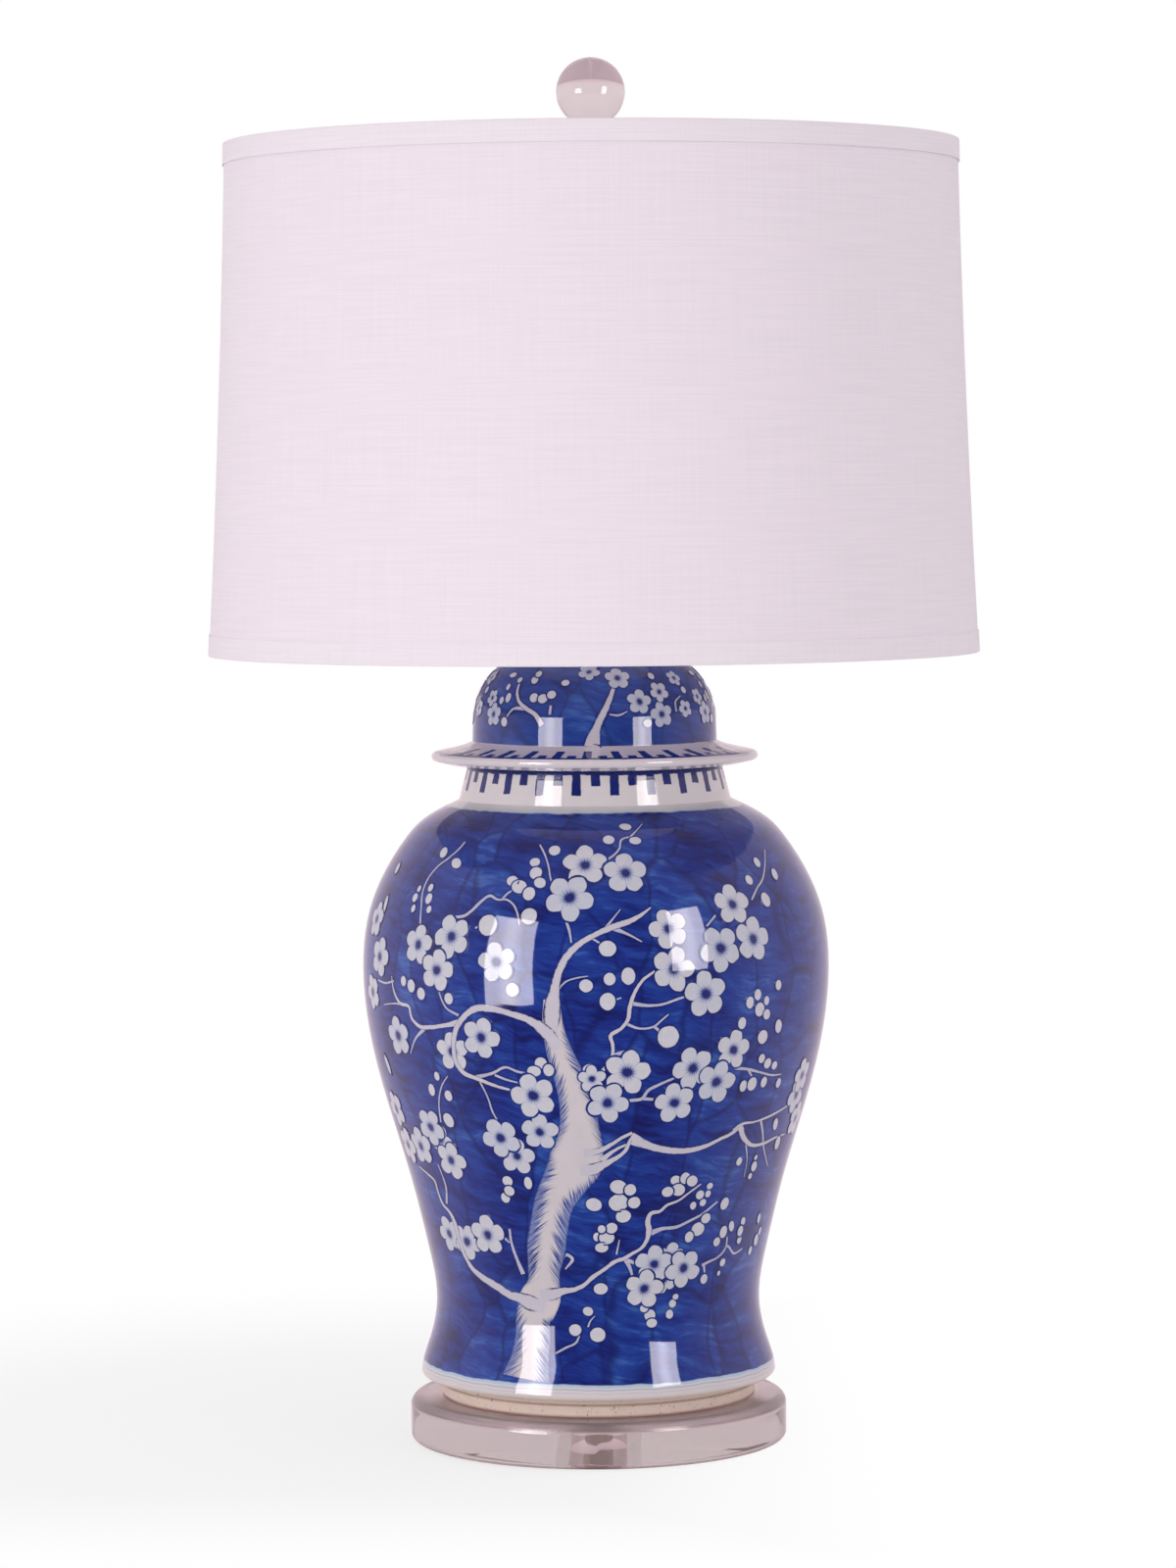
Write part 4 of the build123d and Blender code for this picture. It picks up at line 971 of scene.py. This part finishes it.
BUDS = [                      # middle, width and height in pixels, lean in degrees
    (566, 868, 11, 11, 0), (546, 880, 10, 9, 0), (547, 891, 12, 13, 0), (551, 901, 12, 10, 30),
    (523, 899, 12, 10, 20), (530, 905, 16, 13, 20), (540, 912, 12, 14, 0), (540, 935, 16, 16, 0),
    (498, 944, 20, 21, 0), (453, 870, 9, 13, -30), (466, 881, 9, 15, -60), (424, 916, 7, 9, 0), (428, 907, 4, 7, 0),
    (422, 927, 5, 8, 0), (438, 917, 8, 11, 0), (440, 906, 6, 8, 0), (438, 928, 6, 7, 0), (412, 1001, 8, 10, 0),
    (420, 1006, 11, 13, 0), (430, 1014, 11, 12, 0), (458, 1019, 10, 11, 0), (406, 886, 6, 13, -25),
    (394, 922, 5, 18, -15), (638, 844, 12, 9, 10), (621, 857, 11, 10, 0), (648, 858, 12, 8, 0),
    (772, 880, 8, 11, 20), (790, 892, 8, 13, 25), (764, 898, 9, 10, 0), (781, 918, 12, 15, 0),
    (794, 1005, 8, 10, 0), (773, 1015, 8, 11, 0), (765, 1023, 9, 12, 0), (775, 1030, 12, 14, 0),
    (782, 1021, 6, 9, 0), (782, 1035, 9, 10, 0), (757, 1044, 9, 12, 0), (794, 1047, 9, 14, -10),
    (778, 1058, 13, 14, 0), (777, 1080, 8, 9, 0), (783, 1085, 10, 10, 0), (790, 1087, 8, 8, 0),
    (620, 968, 17, 15, 0), (622, 999, 11, 12, 0), (641, 996, 13, 17, 0), (620, 1022, 15, 17, 0),
    (598, 1006, 13, 12, 0), (523, 1010, 13, 13, 0), (682, 1058, 22, 22, 0), (446, 1098, 6, 9, 0),
    (441, 1112, 8, 13, 10), (458, 1118, 9, 11, 0), (458, 1143, 13, 15, -20), (552, 1085, 12, 12, 0),
    (545, 1093, 14, 10, 0), (560, 1092, 10, 12, 0), (602, 1092, 14, 12, 0), (779, 1104, 8, 11, 0),
    (758, 1108, 8, 12, 0), (767, 1106, 12, 14, 0), (794, 1105, 7, 10, 0), (793, 1166, 9, 15, -10),
    (754, 1185, 7, 9, 0), (769, 1190, 8, 11, -15), (765, 1200, 5, 6, 0), (771, 1181, 4, 5, 0),
    (518, 1205, 11, 10, 0), (520, 1215, 11, 10, 0), (516, 1222, 9, 11, 0), (539, 1207, 7, 14, 0),
    (606, 1229, 16, 13, 15), (613, 1315, 14, 11, 0), (600, 1338, 10, 8, 20), (587, 1357, 12, 11, 0),
    (610, 1362, 15, 14, 0), (657, 1335, 8, 7, 0), (663, 1342, 11, 11, 0), (665, 1350, 11, 8, 0),
    (686, 1330, 7, 8, 0), (689, 1323, 6, 5, 0), (683, 1341, 7, 9, 0), (718, 1305, 8, 10, 0), (737, 1288, 7, 8, 20),
    (733, 1299, 3, 5, 0), (631, 1227, 19, 18, 0), (631, 1211, 17, 14, 20), (643, 1214, 11, 12, 0),
    (647, 1227, 12, 12, 0), (636, 1241, 15, 13, 0), (619, 1263, 15, 13, 0), (624, 1253, 11, 11, 0),
    (614, 1254, 7, 8, 0), (609, 1262, 6, 9, 0), (614, 1273, 13, 9, 0), (692, 1214, 15, 12, 20),
    (681, 1216, 12, 10, 0), (689, 1204, 10, 9, 0), (699, 1202, 10, 12, 0), (706, 1205, 12, 11, 30),
    (714, 1219, 9, 9, 0), (717, 1227, 7, 7, 0), (722, 1218, 6, 7, 0), (724, 1210, 7, 6, 0), (707, 1230, 6, 8, 0),
    (712, 1254, 15, 14, 25), (720, 1243, 11, 10, 0), (703, 1262, 9, 11, 0), (739, 1228, 10, 13, 10),
    (738, 1257, 9, 13, 0), (731, 1267, 8, 9, 0), (746, 1251, 6, 12, -20), (755, 1256, 8, 11, 0),
    (758, 1246, 6, 9, -15), (754, 1265, 6, 8, 0), (774, 1243, 5, 11, -10), (771, 1265, 8, 13, -20),
    (775, 1256, 5, 9, 0), (765, 1276, 6, 9, 0), (791, 1147, 7, 14, -20), (396, 1086, 5, 22, -20),
]

# %% [markdown]
# ### The lid
# The dome repeats the subject on a small scale. The shade hides its crown in the photograph, so the tree is
# drawn three times round the dome.

# %% Strokes and blossoms on the lid
LID_LIMBS = [
    [(604, 762, 16), (606, 752, 13), (609, 742, 9), (614, 731, 8), (619, 721, 7), (623, 711, 5.5), (626, 702, 4),
     (629, 694, 3)],
    [(553, 740, 6), (546, 729, 5), (537, 723, 5), (530, 716, 4), (528, 706, 3.5), (531, 696, 2.5)],
]
LID_TWIGS = [
    [(536, 723, 4), (523, 724, 3), (517, 732, 2), (513, 742, 1.5)],
    [(622, 729, 1.5), (631, 730, 2.5), (640, 726, 1.5)],
    [(690, 726, 2), (689, 716, 2), (694, 710, 1.5)],
    [(561, 729, 3), (562, 720, 3)],
]
LID_BLOSSOMS = [
    (630, 692, 13, 20), (601, 686, 11, 60), (652, 716, 13, 10), (672, 706, 11, 50), (675, 729, 13, 30),
    (687, 692, 9, 0), (699, 723, 9, 40), (504, 729, 12, 20), (503, 712, 9, 60),
]
LID_BUDS = [
    (545, 712, 9, 9, 0), (554, 713, 10, 9, 0), (563, 709, 9, 8, 0), (577, 697, 8, 6, 0), (546, 694, 7, 9, -20),
    (550, 688, 6, 8, -20), (531, 694, 5, 6, 0), (524, 689, 10, 5, 0), (519, 712, 6, 10, 0), (519, 701, 4, 7, 0),
    (697, 704, 6, 7, 0), (719, 712, 5, 8, 0), (726, 733, 8, 9, 0), (664, 690, 6, 8, 0), (661, 738, 8, 7, 0),
]

# %% [markdown]
# ### Petals
# A plum blossom has five round petals. In a fifth of a turn one petal is a circle of radius 0.38 whose
# middle is 0.62 out from the eye, when the whole blossom's radius is 1. Folding the angle into that fifth
# draws all five with one circle. The patch is cut to the same curve with a margin for the dark halo.

# %% Petal formula
PETALS = 5
PETAL_MIDDLE, PETAL_ROUND = 0.615, 0.382
MARGIN = 0.09
UV_REACH = 1.25               # the UV square reaches this far from the eye, in blossom radii
PETAL_STEPS, BUD_STEPS = 40, 18
PETAL_RINGS = (0.25, 0.5, 0.75, 1.0)


def petal_reach(angle, margin):
    """How far from the eye a blossom's edge is: where a ray leaves its petal's circle, grown by the margin."""
    fold = (angle + math.pi / PETALS) % (2 * math.pi / PETALS) - math.pi / PETALS
    grown = PETAL_ROUND + margin
    return PETAL_MIDDLE * np.cos(fold) + np.sqrt(grown**2 - (PETAL_MIDDLE * np.sin(fold)) ** 2)


# %% [markdown]
# ### From the layout to the wall
# A stroke is a ribbon along a smooth line through its points. A blossom is a disc of rings round its eye,
# and a bud an oval. Each is measured out along the wall from the place where the camera's ray meets it.
# Under every stroke goes a wider ribbon of darker blue, because the painter outlined the white with it.

# %% Lay one kind of enamel
HALO = 1.15 * MM              # how far the darker blue reaches past a stroke
STROKE_SPACING, HALO_SPACING = 1.6 * MM, 2.2 * MM
BUD_MARGIN = 0.9 * MM
BLOOM = 1.05                  # petals come out this much larger than their picked radius
BUD_GROWTH = 1                # and buds this many pixels wider and taller
TWIG_TONE = 0.55              # twigs are thinner paint than limbs
WATERY_STEP = 0.012           # no two blossoms side by side are loaded alike
RIBBON_POINTS, TRUNK_POINTS, HALO_POINTS = 3, 9, 5


def lay_strokes(wall, turns, strokes, halo):
    """Each stroke is (points, mesh, tone, lift, columns). A fourth number of the points is a tone of their own."""
    for line, mesh, tone, lift, columns in strokes:
        points = np.array(line, float)
        azimuth, run = wall.seen(points[:, 0], points[:, 1])
        width = points[:, 2] / PIXELS_PER_METRE
        tone = points[:, 3] if points.shape[1] > 3 else tone
        for turn_by in turns:
            ribbon(mesh, azimuth + turn_by, run, width, 0.0, STROKE_SPACING, columns, tone, lift)
            ribbon(halo, azimuth + turn_by, run, width, HALO, HALO_SPACING, HALO_POINTS, 1.0, LIFT_HALO)


def turned(x, y, degrees):
    """Points of a plane turned anticlockwise."""
    tilt = math.radians(degrees)
    return x * math.cos(tilt) - y * math.sin(tilt), x * math.sin(tilt) + y * math.cos(tilt)


def lay_blossoms(wall, turns, behind, blossoms, thin, flower):
    """Rings of points at equal shares of petal_reach. The share thin is how watery the paint is."""
    faces, rim = disc_faces(len(PETAL_RINGS), PETAL_STEPS)
    around = np.arange(PETAL_STEPS) / PETAL_STEPS * 2 * math.pi
    reach = np.outer(PETAL_RINGS, petal_reach(around, MARGIN))
    x, y = (np.r_[0, (reach * way(around)).ravel()] for way in (np.cos, np.sin))
    uv = np.c_[x, y] / (2 * UV_REACH) + 0.5
    for order, (column, row, size, lean) in enumerate(behind + blossoms):
        azimuth, run = wall.seen([column], [row])
        lift = LIFT_BEHIND if order < len(behind) else LIFT_BLOSSOM + order % 4 * LIFT_STEP
        side, rise = np.array(turned(x, y, lean)) * size * BLOOM / PIXELS_PER_METRE
        for turn_by in turns:
            flower.add(*spread(wall, azimuth + turn_by, run, side, rise), faces, rim, uv,
                       thin + order * 7 % 10 * WATERY_STEP, lift)


def lay_buds(wall, turns, buds, bud_mesh):
    """An oval and a margin round it for the halo. The tone is the share of the patch that the bud itself fills."""
    faces, rim = disc_faces(1, BUD_STEPS)
    around = np.arange(BUD_STEPS) / BUD_STEPS * 2 * math.pi
    circle = np.r_[[[0.0, 0.0]], np.c_[np.cos(around), np.sin(around)]]
    for order, (column, row, wide, tall, lean) in enumerate(buds):
        azimuth, run = wall.seen([column], [row])
        half = np.array([wide + BUD_GROWTH, tall + BUD_GROWTH]) / 2 / PIXELS_PER_METRE
        side, rise = turned(*(circle * (half + BUD_MARGIN)).T, -lean)
        share = half.mean() / (half.mean() + BUD_MARGIN)
        for turn_by in turns:
            bud_mesh.add(*spread(wall, azimuth + turn_by, run, side, rise), faces, rim, circle * 0.5 + 0.5, share,
                         LIFT_BUD + order % 4 * LIFT_STEP)


# %% Lay a whole tree
def lay_tree(name, wall, turns, trunk, limbs, twigs, behind, blossoms, buds, thin, materials):
    """Lays one tree, repeated at each turn, on a wall: dark halos first, then twigs, trunk, limbs, buds, blossoms.
    Blossoms that the painter crossed with a limb lie behind it."""
    halo, fine, thick, flower, bud_mesh = (Enamel(wall) for _ in range(5))
    strokes = [(line, fine, TWIG_TONE, LIFT_TWIG, RIBBON_POINTS) for line in twigs]
    strokes += [(line, fine, 1.0, LIFT_LIMB, RIBBON_POINTS) for line in limbs]
    strokes += [(line, thick, 1.0, LIFT_TRUNK, TRUNK_POINTS) for line in trunk]
    lay_strokes(wall, turns, strokes, halo)
    lay_blossoms(wall, turns, behind, blossoms, thin, flower)
    lay_buds(wall, turns, buds, bud_mesh)
    parts = {"halo": halo, "branches": fine, "trunk": thick, "blossoms": flower, "buds": bud_mesh}
    made = [mesh.build(name + "_" + part, materials[part]) for part, mesh in parts.items() if mesh.count]
    print(name, "carries", sum(len(m.data.polygons) for m in made), "faces of enamel")


# %% [markdown]
# ### Petal paint
# The shader folds the angle just as petal_reach does, so the white ends where the patch's margin begins. Inside,
# the painter left the eye dark, drew veins outwards from it and let a thin blue line part the petals.

# %% Petal and bud paint
VEINS = 15


def make_petal_material():
    """The value outside is the distance past the petal's edge, negative on the petal itself."""
    material, graph, shader = new_material("petal paint")
    cobalt = graph.group("cobalt wash")
    centred = graph.vector("SUBTRACT", graph.uv(), (0.5, 0.5, 0))
    waver = graph.vector("SUBTRACT", graph.shift(170.0), (0.5,) * 3)
    local = graph.vector("ADD", graph.vector("MULTIPLY", centred, (2 * UV_REACH,) * 3),
                         graph.vector("MULTIPLY", waver, (0.16, 0.16, 0)))
    x, y, _ = graph.split(local)
    away = graph.length(graph.join(x, y))
    angle = graph.math("ARCTAN2", y, x)
    fifth = 2 * math.pi / PETALS
    fold = (angle + fifth / 2) % fifth - fifth / 2
    petal_x = away * graph.math("COSINE", fold) - PETAL_MIDDLE
    petal_y = away * graph.math("SINE", fold)
    outside = graph.length(graph.join(petal_x, petal_y)) - PETAL_ROUND
    outside = graph.math("MINIMUM", outside, away - 0.5)
    white = graph.mottle(300.0, 2.0, srgb(194, 197, 208), srgb(213, 213, 217))
    between = (fifth / 2 - abs(fold)) * away
    seam = graph.step(between, 0.0, 0.035, 1.0, 0.0) * graph.step(away, 0.3, 0.5)
    petal = graph.mix(seam * 0.45, white, COBALT_THIN)
    veins = graph.step(graph.math("SINE", angle * VEINS), 0.1, 0.9)
    veined = veins * graph.step(away, 0.22, 0.5, 0.5, 0.0)
    petal = graph.mix(veined, petal, srgb(96, 116, 176))
    blush = graph.step(away, 0.16, 0.46, 0.75, 0.0)
    petal = graph.mix(blush, petal, srgb(122, 138, 188))
    spoked = away + veins * -0.06
    petal = graph.mix(graph.tone(), petal, COBALT_THIN)
    eye = graph.step(spoked, 0.13, 0.29, 1.0, 0.0)
    petal = graph.mix(eye, petal, srgb(34, 42, 112))
    halo = graph.mix(graph.step(outside, 0.02, MARGIN * 0.9), cobalt["Deep"], cobalt["Color"])
    glaze_over(graph, shader, graph.mix(graph.step(outside, -0.018, 0.018), petal, halo))
    return material


def make_bud_material():
    """A white oval whose edge is where the distance from its middle equals the tone."""
    material, graph, shader = new_material("bud paint")
    cobalt = graph.group("cobalt wash")
    local = graph.vector("MULTIPLY", graph.vector("SUBTRACT", graph.uv(), (0.5, 0.5, 0)), (2, 2, 0))
    away = graph.length(local) + (graph.noise(graph.place(), 300.0, 1.0) * 0.12 - 0.06)
    outside = away - graph.tone()
    white = graph.mottle(300.0, 2.0, srgb(194, 196, 208), srgb(215, 215, 218))
    halo = graph.mix(graph.step(outside, 0.02, 0.22), cobalt["Deep"], cobalt["Color"])
    glaze_over(graph, shader, graph.mix(graph.step(outside, -0.05, 0.03), white, halo))
    return material


# %% [markdown]
# ### Branches and bark
# A twig is one pull of a loaded brush: white in the middle, thin at the edges. The trunk is drawn the other
# way round, with blue hairs brushed in over the white from both sides, slanting down and outwards like the
# barbs of a feather. The hairs are a noise that is stretched along that slant.

# %% Branch materials
def make_halo_material():
    material, graph, shader = new_material("halo paint")
    cobalt = graph.group("cobalt wash")
    across = abs(graph.split(graph.uv())[1] * 2.0 - 1.0)
    fade = graph.step(across, 0.45, 0.98)
    glaze_over(graph, shader, graph.mix(fade, cobalt["Deep"], cobalt["Color"]))
    return material


def make_branch_material():
    material, graph, shader = new_material("branch paint")
    cobalt = graph.group("cobalt wash")
    along, share, _ = graph.split(graph.uv())
    across = abs(share * 2.0 - 1.0)
    ragged = across + (graph.noise(graph.place(), 420.0, 2.0) * 0.5 - 0.25)
    load = graph.noise(graph.place(), 130.0, 2.0) * (1.18 - graph.tone())
    paint = graph.mix(load, PAINT_WHITE, srgb(112, 134, 196))
    edge = graph.step(ragged, 0.66, 1.0) * graph.step(along, 0.003, 0.009)
    glaze_over(graph, shader, graph.mix(edge, paint, cobalt["Deep"]))
    return material


def make_trunk_material():
    material, graph, shader = new_material("trunk paint")
    cobalt = graph.group("cobalt wash")
    along, share, _ = graph.split(graph.uv())
    signed = share * 2.0 - 1.0
    across = abs(signed)
    core = graph.tone()
    slant = along + across * 0.013
    hairs = graph.noise(graph.join(slant * 980.0, signed * 1.1), 1.0, 3.0, 0.6)
    shag = (hairs - 0.5) * graph.step(core, 0.3, 1.0, 1.7, 0.4)
    reach = across + shag - (core * 0.88 + 0.08)
    white = graph.mottle(90.0, 2.0, srgb(204, 199, 203), srgb(215, 209, 210))
    drawn = graph.step(hairs, 0.66, 0.34) * graph.step(across, 0.88, 1.0, 1.0, 0.0)
    hair = graph.mix(drawn, graph.mix(0.3, cobalt["Color"], cobalt["Deep"]), srgb(156, 166, 202))
    glaze_over(graph, shader, graph.mix(graph.step(reach, -0.12, 0.34), white, hair))
    return material


paints = {
    "halo": make_halo_material(), "branches": make_branch_material(), "trunk": make_trunk_material(),
    "blossoms": make_petal_material(), "buds": make_bud_material(),
}
THIRD = 2 * math.pi / 3
lay_tree("jar", jar_wall, (0.0, math.pi), [TRUNK], LIMBS, TWIGS, BEHIND, BLOSSOMS, BUDS, 0.0, paints)
lay_tree("lid", lid_wall, (0.0, THIRD, -THIRD), [], LID_LIMBS, LID_TWIGS, [], LID_BLOSSOMS, LID_BUDS, 0.12, paints)

# %% [markdown]
# ## The shade
# Linen is glued to a stiff styrene drum, and tape of the same linen is folded round both wire rings. Cloth
# pulled tight over a cylinder has no folds, so what shows is the weave: a plain weave of uneven threads,
# with here and there a thick one, a slub. The weave is a bump on the cloth's own UV, which is in metres.

# %% Linen
THREAD = 0.62 * MM


def make_linen_weave():
    graph, given, output = new_group("linen weave", {"Place": "vector", "Thread": "float"},
                                     {"Height": "float", "Slub": "float"})
    u, v, _ = graph.split(given["Place"])
    drift = graph.noise(graph.join(u, v), 180.0, 2.0) * 1.2 - 0.6
    across = u / given["Thread"] + drift
    up = v / given["Thread"] + drift
    warp = abs(graph.math("SINE", across * math.pi))
    weft = abs(graph.math("SINE", up * math.pi))
    parity = (graph.math("FLOOR", across) + graph.math("FLOOR", up)) % 2.0
    over = parity * warp + (1.0 - parity) * weft
    slub_up = graph.noise(graph.join(u * 18.0, v * 900.0), 1.0, 2.0)
    slub_across = graph.noise(graph.join(u * 900.0, v * 14.0), 1.0, 2.0)
    slub = slub_up * 0.65 + slub_across * 0.35
    height = over * 0.45 + slub * 0.9
    graph.put(output, {"Height": height, "Slub": slub})


def make_linen(name, tint):
    material, graph, shader = new_material(name)
    weave = graph.group("linen weave", {"Place": graph.uv(), "Thread": THREAD})
    light, dark = srgb(*tint), srgb(*(c - 5 for c in tint))
    graph.put(shader, {
        "Base Color": graph.mix(graph.step(weave["Slub"], 0.35, 0.65), dark, light), "Roughness": 0.9,
        "Specular IOR Level": 0.15, "Sheen Weight": 0.12, "Normal": graph.bump(weave["Height"], 0.08 * MM, 0.4)})
    return material


make_linen_weave()
linen = make_linen("linen", (242, 234, 241))
tape_linen = make_linen("linen tape", (242, 235, 241))


# %% The drum, its lap and its hems
SHADE_STEPS = 320
LAP, LAP_PROUD, LAP_SUNK, LAP_FROM_EDGE = 6.0 * MM, 0.5 * MM, 0.2 * MM, 12.0 * MM
LAP_ROWS, LAP_COLUMNS = 60, 9
shade_low, shade_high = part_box("shade_cloth")[0].z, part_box("shade_cloth")[1].z
cloth_outline = thickened(meridian("shade_cloth"), 6.0 * MM)
cloth = revolved("shade_linen", cloth_outline, SHADE_STEPS, sharp=50)
place(cloth, "shade", "linen", linen, "shade_cloth")


def cloth_radius(height):
    """Outer radius of the drum at a height, from its outline."""
    outer = cloth_outline[cloth_outline[:, 0] > np.interp(cloth_outline[:, 1], [shade_low, shade_high], [
        cloth_outline[cloth_outline[:, 1] < shade_low + 10 * MICRON, 0].mean(),
        cloth_outline[cloth_outline[:, 1] > shade_high - 10 * MICRON, 0].mean()])]
    outer = outer[np.argsort(outer[:, 1])]
    return np.interp(height, outer[:, 1], outer[:, 0])


def make_lap():
    """The overlap at the back: a strip of linen a little proud of the drum, its long edges rolled in."""
    share = np.linspace(-1, 1, LAP_COLUMNS)
    proud = LAP_PROUD * np.clip(1.25 - 1.25 * np.abs(share) ** 6, 0, 1)
    heights = np.linspace(shade_low + LAP_FROM_EDGE, shade_high - LAP_FROM_EDGE, LAP_ROWS)
    radius = cloth_radius(heights)[:, None]
    angle = math.pi / 2 - share[None, :] * LAP / radius
    sheets = [np.stack([r * np.cos(angle), r * np.sin(angle), heights[:, None] + 0 * angle], axis=-1).reshape(-1, 3)
              for r in (radius + proud, radius - LAP_SUNK)]
    faces, rim = grid_faces(LAP_ROWS, LAP_COLUMNS)
    uv = np.stack(np.broadcast_arrays(-share[None, :] * LAP, heights[:, None]), axis=-1).reshape(-1, 2)
    strip = mesh_from("shade_lap", np.concatenate(sheets), slab_faces(faces, rim, len(uv)), np.r_[uv, uv], 50)
    place(strip, "shade", "linen", linen)


RING_WRAP = 6.3 * MM
OUTER_SLACK = 0.05 * MM
TAPE, TAPE_ROLL = 0.7 * MM, 0.55 * MM
SHORTER_INSIDE = 3 * MM
PUCKER = 0.12 * MM


def make_hem(name, node, inwards):
    """Tape folded round a ring: a U in section with round corners, and a slightly uneven free edge.
    inwards is +1 at the bottom edge of the drum, where the tape runs up, and -1 at the top."""
    low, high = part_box(node)
    edge = low.z if inwards > 0 else high.z
    tall, wide, roll, thick = high.z - low.z, RING_WRAP, TAPE_ROLL, TAPE
    inner = tall - SHORTER_INSIDE
    shape = np.array([
        (0.0, tall), (0.0, tall * 0.5), (0.0, roll), (-roll * 0.3, roll * 0.3), (-roll, 0.0), (-wide + roll, 0.0),
        (-wide + roll * 0.3, roll * 0.3), (-wide, roll), (-wide, inner), (-wide + thick, inner),
        (-wide + thick, roll + thick * 0.5), (-thick, roll + thick * 0.5),
        (-thick, tall * 0.5), (-thick * 0.9, tall)])
    lean = (cloth_radius(edge + inwards * tall) - cloth_radius(edge)) / tall
    section = np.c_[high.x - OUTER_SLACK + shape[:, 0] + lean * shape[:, 1], edge + inwards * shape[:, 1]]
    if inwards > 0:
        section = section[::-1]
    hem = revolved(name, thickened(section, 2.5 * MM), SHADE_STEPS, sharp=60)
    points = points_of(hem.data)
    turn_angle = np.arctan2(points[:, 1], points[:, 0])
    pucker = PUCKER * np.sin(turn_angle * 31 + 2 * np.sin(turn_angle * 7))
    points[:, 2] -= inwards * np.abs(pucker * np.clip(np.abs(points[:, 2] - edge) / tall, 0, 1))
    hem.data.vertices.foreach_set("co", points.ravel())
    place(hem, "shade", "linen", tape_linen, node)
    return hem


top_hem = make_hem("shade_top_hem", "top_hem", -1)
bottom_hem = make_hem("shade_bottom_hem", "bottom_hem", 1)
make_lap()

# %% [markdown]
# ## Acrylic
# The foot and the ball are cast acrylic. Both are clear with a faint warm grey, bend light a little less
# than glass does, and are polished all over. The solids are right as they are, so they are only merged and
# smoothed. The tint sits in the base colour, which light meets on its way in and again on its way out.

# %% Acrylic
ACRYLIC_IOR = 1.49
SHOULDER_FROM, SHOULDER_TO = 19.5 * MM, 22.5 * MM       # where the foot's side turns over to its top


def make_acrylic(name, tint, clear, rough, shoulder):
    """Acrylic whose polish goes from rough on its side to shoulder where it turns over at the top."""
    material, graph, shader = new_material(name)
    polish = graph.step(graph.split(graph.place())[2], SHOULDER_FROM, SHOULDER_TO, rough, shoulder)
    graph.put(shader, {
        "Base Color": graph.mottle(25.0, 2.0, srgb(*tint), srgb(*lighter(tint, 5))), "Roughness": polish,
        "Transmission Weight": clear, "IOR": ACRYLIC_IOR})
    return material


acrylic = make_acrylic("clear acrylic", (216, 201, 203), 0.84, 0.02, 0.24)
ball_acrylic = make_acrylic("ball acrylic", (234, 219, 222), 0.80, 0.12, 0.12)
for node, body in (("acrylic_base", "root"), ("lead_gland", "root"), ("finial_ball", "finial")):
    place(merged_copy(node), body, "clear_acrylic", ball_acrylic if node == "finial_ball" else acrylic, node)
print("acrylic foot and ball are clear")


# %% [markdown]
# ## Metal and moulded parts
# Most of these hide under the shade, but they show from below and when the shade is lifted off. Lacquer and
# plating are never quite even, so one group gives every metal its wear: a soft mottle between a bright and a
# dull tone, a little more or less polish with it, and the fine lines of the lathe in its height.

# %% Metal finishes
def make_wear():
    graph, given, output = new_group("metal wear", {"Bright": "colour", "Dull": "colour", "Lines": "float"},
                                     {"Color": "colour", "Roughness": "float", "Height": "float"})
    stain = graph.noise(graph.place(), 90.0, 4.0)
    x, y, z = graph.split(graph.place())
    around = graph.length(graph.join(x, y))
    graph.put(output, {
        "Color": graph.mix(graph.step(stain, 0.3, 0.75), given["Dull"], given["Bright"]),
        "Roughness": stain * 0.22 + 0.12,
        "Height": graph.noise(graph.join(z * given["Lines"], around * given["Lines"]), 1.0, 2.0)})


def make_metal(name, bright, dull, lines=2600.0, metallic=1.0):
    material, graph, shader = new_material(name)
    wear = graph.group("metal wear", {"Bright": srgb(*bright), "Dull": srgb(*dull), "Lines": lines})
    graph.put(shader, {"Base Color": wear["Color"], "Roughness": wear["Roughness"], "Metallic": metallic,
                       "Normal": graph.bump(wear["Height"], 0.03 * MM, 0.5)})
    return material


def make_moulding(name, colour, rough, grain, clear=0.0):
    """Moulded or coated stuff: a plain colour with a fine grain in its height and its gloss."""
    material, graph, shader = new_material(name)
    fleck = graph.noise(graph.place(), grain, 3.0)
    graph.put(shader, {
        "Base Color": graph.mix(fleck, srgb(*colour), srgb(*lighter(colour, 14))), "Roughness": fleck * 0.15 + rough,
        "Normal": graph.bump(fleck, 0.05 * MM, 0.4), "Transmission Weight": clear})
    return material


make_wear()
FINISHES = {
    "brass": make_metal("brass", (214, 176, 108), (178, 138, 78)),
    # painted light: the zinc steel is pale and only partly metal, so that it stays light instead of mirroring the dark
    # room in front
    "zinc_steel": make_metal("zinc steel with painted light", (238, 228, 220), (212, 202, 194), 900.0, 0.35),
    "plated_wire": make_metal("brass-plated wire", (216, 182, 118), (186, 150, 92), 400.0),
    "phenolic": make_moulding("black phenolic", (22, 20, 19), 0.22, 260.0),
    "card": make_moulding("fibre card", (112, 84, 58), 0.8, 700.0),
    "white_wire": make_moulding("white enamel", (226, 222, 222), 0.3, 240.0),
    "styrene": make_moulding("styrene lining", (240, 232, 236), 0.55, 500.0),
    "clear_rubber": make_moulding("clear rubber", (214, 208, 208), 0.35, 300.0, 0.8),
}
# painted light: the pipe and nut in the foot get an almost white brass that is only a quarter metal, so that they stay
# light instead of mirroring the dark room in front
pale_brass_painted_light = make_metal("pale brass with painted light", (248, 232, 218), (220, 202, 188), 900.0, 0.25)
slots = {entry["node"]: entry["material_slot"] for entry in frame["record"]["subparts"]}
body_of = {node: body for body, nodes in frame["record"]["behaviour"]["bodies"].items() for node in nodes}
plain = [node for node in SOLIDS if slots[node] in FINISHES]
for node in plain:
    finish = pale_brass_painted_light if node in ("clamp_nut", "lamp_pipe") else FINISHES[slots[node]]
    place(merged_copy(node), body_of[node], slots[node], finish, node)
print(len(plain), "metal and moulded pieces finished")
